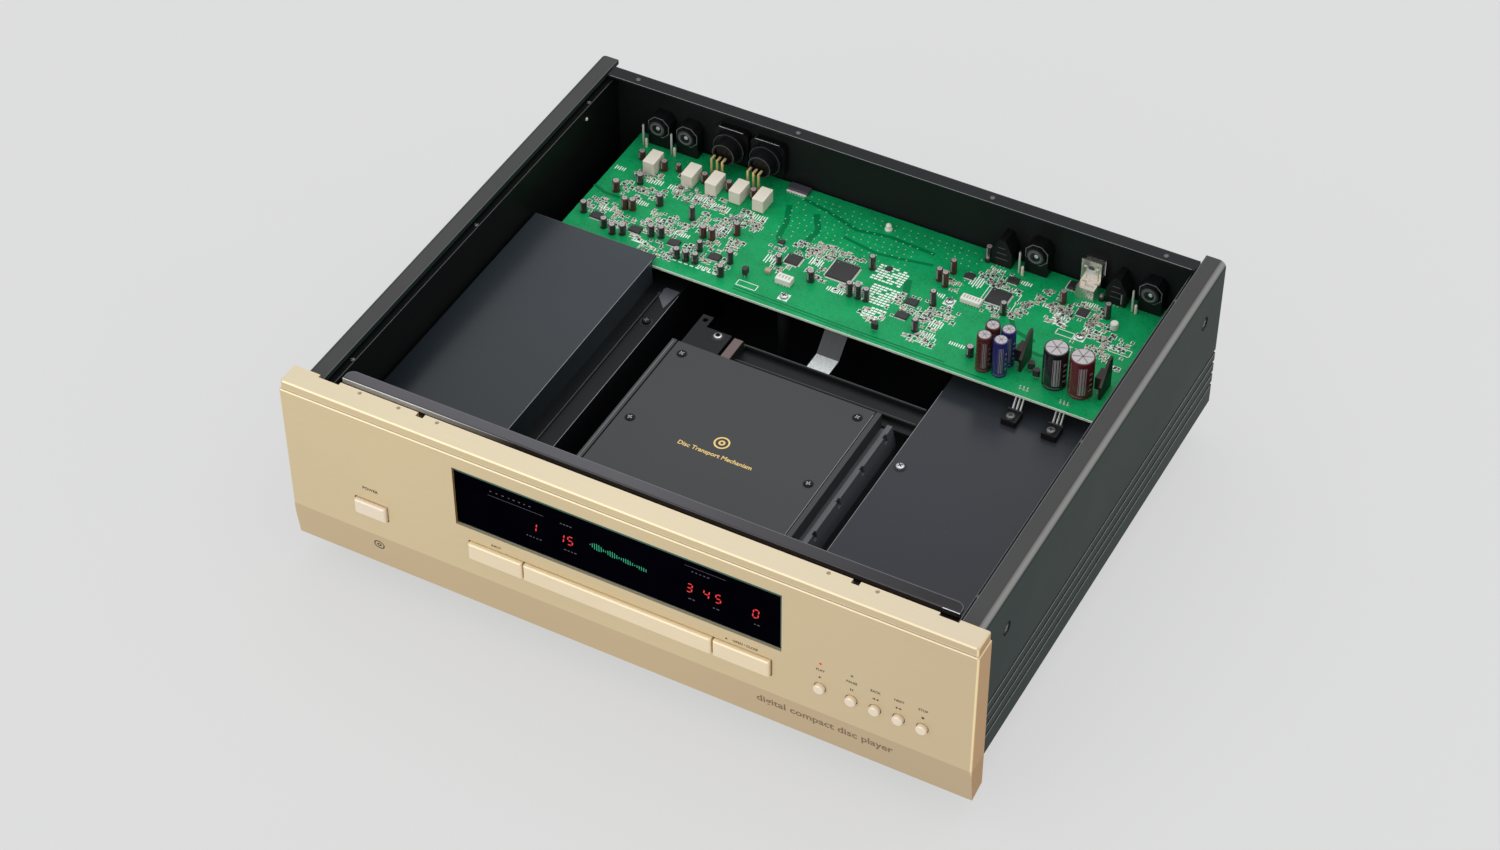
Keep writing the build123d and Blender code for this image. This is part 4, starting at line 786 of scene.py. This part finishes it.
HATCHES = (
    # x, y, bars, bar length, pitch: groups of short white bars beside the parts
    (-155, 129.6, 7, 7, 1.7), (-139.9, 129.4, 6, 6, 1.7), (-117.6, 128.2, 9, 7.5, 1.7),
    (-103.8, 125.8, 8, 7, 1.7), (-78.6, 129, 9, 8, 1.7), (-182.4, 130.8, 5, 5, 1.6),
    (-112.9, 90.4, 7, 5, 1.6), (-170.5, 90.2, 6, 5, 1.6), (-134.5, 72.5, 6, 4, 1.6),
    (-84.6, 68.1, 6, 3.6, 1.6), (-49.2, 96, 6, 9, 1.9), (-91.4, 107.6, 6, 6, 1.6),
    (-151.8, 106, 6, 6, 1.6), (-23, 107.5, 6, 8, 1.6), (0, 88.6, 8, 5, 1.6), (76.5, 138.5, 6, 12, 1.6),
    (84.1, 155.4, 6, 4, 1.6), (104.5, 152, 6, 4.5, 1.6), (126.8, 139, 5, 5, 1.7), (161.1, 131, 8, 5, 1.6),
    (139.5, 133, 6, 8, 1.6), (180, 121.8, 8, 3.5, 1.6), (91, 78.5, 7, 4, 1.6), (70, 78, 7, 6, 1.6),
    (71, 90, 6, 9, 1.6), (150, 152.5, 6, 6, 1.6), (60.5, 116, 5, 5, 1.6),
)
GRIDS = (
    # x0, y0, columns, rows: cells of the white parts table printed on the board
    (14, 111, 8, 7), (18.5, 89.5, 7, 8), (25, 75.5, 5, 5), (133, 126, 4, 5),
)
OUTLINES = (
    # x0, x1, y0, y1 of the white frames
    (128, 144.6, 159.6, 168.6), (176, 190, 118.5, 124.5), (140, 151.5, 117.8, 122.8),
    (62.5, 76.5, 69.5, 77), (-60, -46, 64, 69), (84.5, 106.5, 121.5, 140.5),
)
TRACES = (
    # points and width of the dark lines under the green mask
    (((-66, 150), (-59.8, 134), (-57.6, 119), (-50, 108)), 4),
    (((-46, 150), (-37.7, 136.3), (-39, 122.3), (-36.3, 112.5)), 4.5),
    (((-60, 160), (-40.4, 155.9), (-15.6, 148.1), (6.5, 152.3), (40, 150)), 3),
    (((-20, 138), (6.3, 133.4), (20.9, 135.6), (44, 140)), 2.6),
    (((36, 120), (40, 108), (46, 96)), 5), (((-60, 62), (20, 60.5), (90, 60.5)), 1.2),
    (((-60, 59.6), (20, 58.2), (120, 58.2)), 1), (((108, 120), (116, 108), (132, 104)), 3.5),
    (((120, 96), (140, 94), (160, 98)), 3), (((-190, 108), (-180, 104), (-168, 104)), 2.5),
)
PADS = ((-26.7, 67.5), (68.5, 112.8), (155.6, 121.3))


def board_print():
    """White ink, rings of the screw pads, dark traces and the pale cut edge of the board."""
    ink = Piece("board_ink")

    def bar(x, y, wide, deep):
        ink.block((wide, deep, 0.03), at(x, y, BOARD_Z + INK_RISE), "white_print")

    for x, y, count, length, pitch in HATCHES:
        for i in range(count):
            bar(x + (i - count / 2) * pitch, y, 0.75, length * (0.55 + 0.45 * RNG.random()))
    for x0, y0, columns, rows in GRIDS:
        for row in range(rows):
            for column in range(columns):
                if RNG.random() < 0.86:
                    bar(x0 + 2.75 * column + 0.12 * row, y0 + 2.35 * row, 2.1 + 0.3 * RNG.random(), 1.45)
    for i in range(8):
        bar(-106 + 4.2 * i, 66, 2.6, 1)
    bar(-132, 70.6, 17, 0.9)
    for x0, x1, y0, y1 in OUTLINES:
        for y in (y0, y1):
            bar((x0 + x1) / 2, y, x1 - x0, 0.5)
        for x in (x0, x1):
            bar(x, (y0 + y1) / 2, 0.5, y1 - y0)
    for x, y in PADS:
        ink.add(ring(4.9, 3.1, 0.04, 4), at(x, y, BOARD_Z + INK_RISE, 45), "white_print")
    ink.make()

    traces = Piece("board_traces")
    for points, width in TRACES:
        traces.add(band(points, width, 0.012), at(0, 0, BOARD_Z + 0.001), "dark_mask")
    traces.make()

    edge = Piece("board_cut_edge")
    edge.block((385.4, 0.06, 1.5, 0.01), at(3.25, 54.58, 96.45), "board_edge")
    edge.block((385.4, 0.35, 0.03), at(3.25, 54.8, BOARD_Z + 0.003), "white_print")
    edge.make()


MID_CANS = ((113.6, 66.8, "brown_sleeve"), (114.4, 77.4, "brown_sleeve"), (124.6, 67.4, "blue_sleeve"),
            (124.8, 78.4, "blue_sleeve"))
TALL_CANS = ((158.5, 75.5, "black_sleeve"), (176, 75.5, "red_sleeve"))
TRANSISTOR_XS = (144, 171.3)


def big_can(piece, x, y, r, height, sleeve, print_finish):
    """Snap-in capacitor: shrunk sleeve, crimp groove, rolled rim and scored top."""
    profile = ((r - 0.4, 0), (r, 0.5), (r, 1.6), (r - 0.5, 2.1), (r, 2.7), (r, height - 1.1),
               (r - 0.3, height - 0.4), (r - 0.8, height - 0.1), (r - 1.1, height - 0.25))
    piece.add(turned(profile, 28), at(x, y, BOARD_Z), sleeve)
    top = BOARD_Z + height - 0.25
    piece.add(turned(((r - 1.1, 0), (r - 1.2, 0.12), (r * 0.5, 0.18)), 28), at(x, y, top), "vent_top")
    for turn in (20, 80, 140):
        piece.block((2 * (r - 1.6), 0.09 * r, 0.03), at(x, y, top + 0.18, turn), "score")
    for k in range(3):
        angle = -75 + 12 * k
        spot = at(x, y, BOARD_Z + 4, angle) @ at(r - 0.1, 0, 0)
        piece.block((0.14, r * 0.2, height - 8), spot, print_finish)
    glint = at(x, y, BOARD_Z + 3.2, -128) @ at(r - 0.1, 0, 0)
    piece.block((0.14, r * 0.1, height - 6), glint, "sleeve_glint")
    for k in range(4):
        spot = at(x, y, BOARD_Z + 6 + k * (height - 12) / 4, -20) @ at(r - 0.1, 0, 0)
        piece.block((0.14, r * 0.28, 1.6), spot, print_finish)


def big_cans():
    """The six reservoir capacitors at the right end of the board."""
    cans = Piece("reservoir_cans")
    for x, y, sleeve in MID_CANS:
        big_can(cans, x, y, 4.9, 28.5, sleeve, "sleeve_print")
    for x, y, sleeve in TALL_CANS:
        big_can(cans, x, y, 8, 30, sleeve, "sleeve_band")
    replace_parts(cans.make(), "capacitors")


def header(piece, x, y, wide, deep, height, ways):
    """White plug housing with slots and bright pins."""
    place = at(x, y, BOARD_Z)
    piece.block((wide, deep, height, 0.3), place, "plug_white")
    pitch = (wide - 2) / ways
    for i in range(ways):
        dx = (i - (ways - 1) / 2) * pitch
        piece.block((pitch * 0.5, deep * 0.45, 0.1), place @ at(dx, 0.3, height - 0.04), "plug_shade")
        piece.block((0.6, 0.6, 1.2), place @ at(dx, -deep / 2 - 0.4, 0), "tinned")


def board_hardware():
    """Plugs, spacer, crystal, labelled module and regulator leads."""
    plugs = Piece("board_plugs")
    header(plugs, -33, 80, 11, 6.5, 4.6, 4)
    header(plugs, 81, 119, 14, 6, 3.6, 6)
    plugs.block((4.2, 3.2, 2.4, 0.2), at(-47, 84, BOARD_Z), "ceramic")
    plugs.make()

    lumps = Piece("board_spacer_and_crystal")
    lumps.add(turned(((2.6, 0), (2.6, 1.2), (1.9, 1.6), (2.1, 3.4), (1.5, 4.6), (0.5, 5.2)), 18),
              at(2.6, 158.4, BOARD_Z), "plug_white")
    lumps.add(turned(((2.7, 0), (2.7, 4.2), (2.2, 4.8)), 18), at(171, 139.6, BOARD_Z), "plug_white")
    for x, y in ((-169.7, 127.6), (-165.8, 129.7), (-132.4, 130), (-125.7, 131.6), (-127.6, 119.6),
                 (-93, 118.8), (-87.7, 121.6)):
        lumps.add(turned(((1.5, 0), (1.5, 3.6), (1.2, 4)), 12), at(x, y, BOARD_Z), "silver_and_highlight")
    lumps.make()

    packs = Piece("board_transistors")
    half_round = tuple((2.4 * cos(radians(a)), 2.4 * sin(radians(a))) for a in range(-40, 221, 26))
    for x, y, turn in ((141.2, 79, 20), (146.6, 74.4, 5), (128.8, 90.4, 80), (38.6, 66.2, 0),
                       (-58, 74, 90)):
        packs.add(prism(half_round, 4.6), at(x, y, BOARD_Z + 2.2, turn), "chip_body")
        for shift in (-1.3, 0, 1.3):
            lead = at(x, y, BOARD_Z, turn) @ at(shift, 0, 0)
            packs.block((0.5, 0.4, 2.4), lead, "tinned")
    packs.make()

    module = Piece("board_module")
    module.block((15, 6.5, 2.6, 0.2), at(-67, 166.4, BOARD_Z), "module_grey")
    module.block((14.4, 1.4, 0.8, 0.1), at(-67.6, 162.6, BOARD_Z), "plug_white")
    for i in range(7):
        module.block((0.9, 1.6, 0.4), at(-73.6 + 2 * i, 161.4, BOARD_Z), "tinned")
    module.make()

    wire = tube(((0, 51.5, 86.4), (0, 52.4, 86.6), (0, 56, 91.4), (0, 59.9, 96.6)), 0.72, 8)
    joint = turned(((1, 0), (0.6, 0.9), (0.45, 2.2)), 10)
    leads = Piece("regulator_leads")
    for x in TRANSISTOR_XS:
        for shift in (-2.54, 0, 2.54):
            leads.add(wire, at(x + shift, 0, 0), "tinned")
            leads.add(joint, at(x + shift + 0.6, 61.2, BOARD_Z), "tinned")
        leads.block((9.6, 0.9, 0.05), at(x, 51.2, 88.6), "module_grey")
    leads.make()

    lead = turned(((0.9, 0), (0.55, 0.6), (0.5, 5)), 8)
    tabs = Piece("sink_transistor_leads")
    for x in (135.4, 189.4):
        for shift in (-2.5, 0, 2.5):
            tabs.add(lead, at(x - 3.1, 82.4 + shift, BOARD_Z), "tinned")
    tabs.make()


PHONO_XS = (-171.8, -150.3, 105.5, 184.5)
BALANCED_XS = (-119.1, -91.9)
PIN_SHIFTS = (-6.1, -1.9, 1.9)
OPTICAL_XS = (82.5, 162.5)


def socket_details():
    """Rims, contacts and pins of the sockets, seen from inside the case, with painted highlights on the phono
    rims, a painted glint in each phono socket and painted shade in its mouth.
    """
    rings = Piece("phono_contacts")
    for x in PHONO_XS:
        front = flat_on_front(x, 114.5, 160.9)
        rings.add(turned(((5.6, 0), (5.6, 0.5), (4.6, 0.9), (3.3, 0.5)), 24), front, "rim_grey")
        # Painted highlight on the contact ring.
        rings.add(ring(4.5, 3.9, 0.95), front, "rim_highlight")
        # Painted glint beside the centre.
        rings.add(turned(((1.5, 0), (1.2, 0.3)), 12), flat_on_front(x + 0.9, 115.4, 160.3), "pin_tin_and_glint")
        # Painted shade in the socket's mouth.
        rings.add(turned(((3.2, 0), (3, 0.1)), 20), flat_on_front(x, 114.3, 160.38), "shade_black")
        # Painted highlight round the octagonal rim.
        rings.add(ring(8.5, 7.95, 0.3, 8), flat_on_front(x, 114.1, 163.05) @ at(0, 0, 0, 22.5), "rim_highlight")
        rings.add(turned(((0.75, 0), (0.75, 16.6), (0.4, 17.1)), 10), at(x - 10.2, 160, BOARD_Z), "pin_tin_and_glint")
        rings.add(turned(((1, 0), (0.95, 6.6), (0.6, 7.2)), 10), at(x - 7.2, 158.6, BOARD_Z), "cream_pin")
    rings.make()

    cups = Piece("balanced_details")
    for x in BALANCED_XS:
        cups.add(ring(8.15, 7.6, 0.3, 30), flat_on_front(x, 115.5, 156), "rim_grey")
        cups.add(ring(11.35, 10.9, 0.3, 36), flat_on_front(x, 115.5, 163.5), "rim_grey")
        # Painted highlight along the top edge of the flange.
        cups.block((18, 0.5, 0.5, 0.1), at(x, 167.4, 128.5), "silver_and_highlight")
        cups.block((0.5, 4.8, 0.5, 0.1), at(x - 9.4, 170, 128.3), "rim_grey")
        for shift in PIN_SHIFTS:
            cups.block((1.5, 1.1, 15.6, 0.05), at(x + shift, 151.5, BOARD_Z), "gold")
            cups.block((1.5, 5.2, 1.1, 0.05), at(x + shift, 153.6, 112.45), "gold")
    cups.make()

    data = Piece("data_port_details")
    data.block((9, 0.5, 5, 0.1), at(142.7, 164.7, 111), "tinned")
    for x in (138.6, 146.8):
        data.block((2.2, 0.6, 9.5, 0.1), at(x, 164.6, 108), "warm_nickel")
    data.add(turned(((2.2, 0), (1.8, 0.5)), 14), flat_on_front(142.7, 116.6, 165), "module_grey")
    data.block((14.5, 7, 2.2, 0.2), at(136.3, 163.6, BOARD_Z), "chip_body")
    for i in range(6):
        data.block((0.9, 1.8, 0.5), at(130.6 + 2.2 * i, 159.4, BOARD_Z), "tinned")
    data.make()

    ports = Piece("optical_details")
    for x in OPTICAL_XS:
        for k in range(3):
            ports.block((8.4 - 1.6 * k, 0.4, 0.5, 0.1), at(x, 159.85, 104 + 4.4 * k), "rim_grey")
        ports.add(turned(((2.2, 0), (2.2, 3), (1.2, 3.8)), 14), at(x - 9.5, 160.5, BOARD_Z), "chip_body")
        ports.add(turned(((1.6, 0), (1.2, 0.9)), 12), at(x - 9.5, 160.5, BOARD_Z + 3.6), "silver_and_highlight")
        for i in range(3):
            ports.block((0.6, 1.2, 0.5), at(x - 2.5 + 2.5 * i, 159, BOARD_Z), "tinned")
    ports.make()


COVER_Z, BAY_Z, LEFT_COVER_Z = 91, 84, 103
LIP_Z, FLANGE_Z = 138, 143.4
COVER_SCREWS = [(x, y) for x in (-62, 62) for y in (-3.5, -69.3, -135.1)]
# y and z of the screws on each side panel
SIDE_SCREWS = ((-139, 112.6), (152.5, 114.6))
EDGE_LINES = {
    # width, depth, x, y and z of the pale lines along the sheets' cut edges, brightened as painted edge
    # highlights
    "cut_edge": (
        (0.35, 204, -115.7, -48, LEFT_COVER_Z), (0.35, 204, -94.4, -52, BAY_Z),
        (0.35, 204, 94.8, -52, BAY_Z), (418, 0.4, 0, 164.5, FLANGE_Z), (0.35, 174, 69.5, -83.5, COVER_Z),
    ),
    "faint_edge": (
        (90, 0.3, -160.8, 59.3, LEFT_COVER_Z), (0.3, 204, -106.3, -54, 84.8),
        (418, 0.3, 0, 174.2, FLANGE_Z), (0.4, 355, -212.3, 2, 144), (0.4, 355, 212.3, 2, 144),
        (0.4, 346, -208.6, -2, LIP_Z), (0.4, 346, 208.6, -2, LIP_Z), (133, 0.3, 27, 28.8, 85),
        (133, 0.3, 27, 13.8, 85),
    ),
    "wall_edge": ((0.9, 176, -72.4, -83.5, 91.5),),
}


def sheet_edges():
    """Paler cut edges of the sheets, with painted edge highlights."""
    lines = Piece("cut_edges")
    for finish, rows in EDGE_LINES.items():
        for wide, deep, *place in rows:
            lines.block((wide, deep, 0.04), at(*place), finish)
    lines.make()


def on_side(side, x, y, z):
    """Place of a round part on a wall, looking to the right for side 1, to the left for -1."""
    return at(side * x, y, z) @ Matrix.Rotation(side * pi / 2, 4, "Y")


def groove_edges():
    """Painted highlights on the lower edges of the side grooves and painted shade in rings round the side
    screws.
    """
    grooves = Piece("side_groove_edges")
    for side in (-1, 1):
        for z in (41.1, 50.4, 59.7, 69):
            grooves.block((0.04, 345, 0.55), at(side * 225.71, 7.5, z - 1.85), "groove_edge")
        for y, z in SIDE_SCREWS:
            grooves.add(ring(5, 4.4, 0.04, 32), on_side(side, 225.7, y, z), "screw_well")
    grooves.make()


def lip_edges():
    """Painted highlights along the front edge of the front sheet's lip, fading towards the middle and bright
    again at the right end, painted shade in the line behind it and a painted highlight round its rear
    outline.
    """
    lip = Piece("front_lip_edges")
    lip.block((413.4, 3.3, 0.03), flat_on_front(0, 136.3, -163.81), "lip_front_highlight")
    lip.block((413.4, 0.55, 0.04), at(0, -163.52, LIP_Z), "lip_front_highlight")
    # Painted shade in the gap behind the lip's edge.
    lip.block((412.6, 0.7, 0.04), at(0, -162.85, LIP_Z), "shade_black")
    # Painted highlight at the lip's right end.
    lip.block((11, 0.55, 0.04), at(201.1, -163.52, LIP_Z + 0.05), "lip_end_highlight")
    # Painted highlight round the lip's rear outline.
    rim = [(-206.4, -162)]
    for side, angles in ((-1, (180, 150, 120, 90)), (1, (90, 60, 30, 0))):
        rim += [(201.8 * side + 4.6 * cos(radians(a)), -159.8 + 4.6 * sin(radians(a))) for a in angles]
    rim.append((206.4, -162))
    lip.add(band(tuple(rim), 0.45, 0.04), at(0, 0, LIP_Z), "lip_edge")
    lip.make()


def flange_screws():
    """Small screws along the tops of the walls and a small white dome on the left wall."""
    screws = Piece("flange_screws")
    walls = [(side * 210.7, y, LIP_Z, 35) for side in (-1, 1) for y in (138.4, -3.7, -146.7)]
    rear = [(x, 169, FLANGE_Z, 20) for x in (-190, -70, 70, 190)]
    for x, y, z, turn in walls + rear:
        screws.add(turned(((1.9, 0), (1.8, 0.35), (1.2, 0.6))), at(x, y, z), "dark_screw")
        screws.block((1.9, 0.35, 0.05), at(x, y, z + 0.6, turn), "cut_edge")
    screws.add(turned(((1.3, 0), (1.2, 0.5), (0.6, 0.8)), 14), on_side(1, -208.3, 131, 130), "plug_white")
    screws.make()


def divider_patch():
    """Lit corner of the divider's foot."""
    patch = Piece("divider_patch")
    outline = ((-107.8, 46.5), (-105.2, 53.6), (-95.2, 53.6), (-97.2, 35))
    patch.add(prism(outline, 0.3), at(0, 0, BAY_Z + 0.02), "lit_patch")
    patch.make()


def pan_head(piece, place, r, height, head, recess):
    """Domed screw head with a washer-like rim and a cross recess."""
    rise = ((1, 0), (1, 0.45), (0.93, 0.78), (0.76, 0.94), (0.4, 1))
    piece.add(turned(tuple((r * a, height * b) for a, b in rise), 24), place, head)
    for turn in (18, 108):
        piece.block((r * 1.15, r * 0.26, 0.03), place @ at(0, 0, height, turn), recess)


def screw_set():
    """Every machine screw: black on the mechanism, bright on the cover, plain on the board."""
    screws = Piece("screw_set")
    for x, y in COVER_SCREWS:
        pan_head(screws, at(x, y, COVER_Z, 25 + y), 2.9, 0.8, "screw_black", "screw_glint")
    # Black head with a grey cross, the cross a painted glint.
    pan_head(screws, at(-100.6, 19, BAY_Z), 2.9, 2, "screw_black", "screw_grey_and_glint")
    bright = [(101.6, -23.7, BAY_Z, 30), (-49.4, 20.9, COVER_Z, 10)]
    for place in bright + [(x, y, BOARD_Z, x) for x, y in PADS]:
        # Bright heads with painted shade in their cross recesses.
        pan_head(screws, at(*place), 2.9, 2, "screw_silver", "screw_recess_shade")
    # Painted shade in the centre of the bracket screw.
    screws.add(turned(((1.7, 0), (1.6, 0.03)), 18), at(-49.4, 20.9, COVER_Z + 2), "screw_recess_shade")
    for x in TRANSISTOR_XS:
        # Grey heads with painted shade in their recesses.
        pan_head(screws, at(x, 44, 88.6, x), 2.9, 2, "screw_grey_and_glint", "screw_recess_shade")
    for y, z in SIDE_SCREWS:
        for side in (-1, 1):
            # Black heads with a grey cross, the cross a painted glint.
            pan_head(screws, on_side(side, 223.7, y, z), 4.1, 1.6, "screw_black", "screw_grey_and_glint")
    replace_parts(screws.make(), "case_screws")


def mechanism_details():
    """Gold print on the cover, the felt block and a painted reflection on the level run of the ribbon."""
    print_gold = Piece("mechanism_print")
    disc_mark(print_gold, at(-1, -62.6, 91.02), 5.2, "gold_ink")
    print_gold.add(lettering("Disc Transport Mechanism", 4.7, 0.02), at(0.2, -75.4, 91.04), "gold_ink")
    print_gold.make()

    felt = Piece("damping_felt")
    felt.block((6.3, 19.2, 0.6, 0.2), at(-36.8, 16.1, 90), "felt_brown")
    felt.block((6.3, 0.5, 4.6, 0.1), at(-36.8, 25.95, 85.2), "felt_brown")
    felt.make()

    ribbon = Piece("ribbon_conductor_reflection")
    # Real conductors, drawn bright only on the level run: a painted reflection.
    ribbon.block((15.8, 15.2, 0.05), at(14.5, 41.2, 78.41), "foil_gap")
    for i in range(14):
        ribbon.block((0.8, 15.2, 0.07), at(7.35 + 1.1 * i, 41.2, 78.43), "foil")
    ribbon.make()

    recess = Piece("cover_screw_rings")
    # Painted shade: dark rings round the screw heads on the covers.
    for x, y, z in ((101.6, -23.7, BAY_Z), (-100.6, 19, BAY_Z), (-49.4, 20.9, COVER_Z)):
        recess.add(ring(4.2, 3, 0.08), at(x, y, z), "screw_recess_shade")
    for x, y in COVER_SCREWS:
        recess.add(ring(3.6, 2.95, 0.05), at(x, y, COVER_Z), "screw_recess_shade")
    recess.make()


add_camera()
add_studio()
finish_nodes()
display()
window_bevel()
front_print()
board_parts()
board_print()
big_cans()
board_hardware()
socket_details()
sheet_edges()
groove_edges()
lip_edges()
flange_screws()
divider_patch()
screw_set()
mechanism_details()
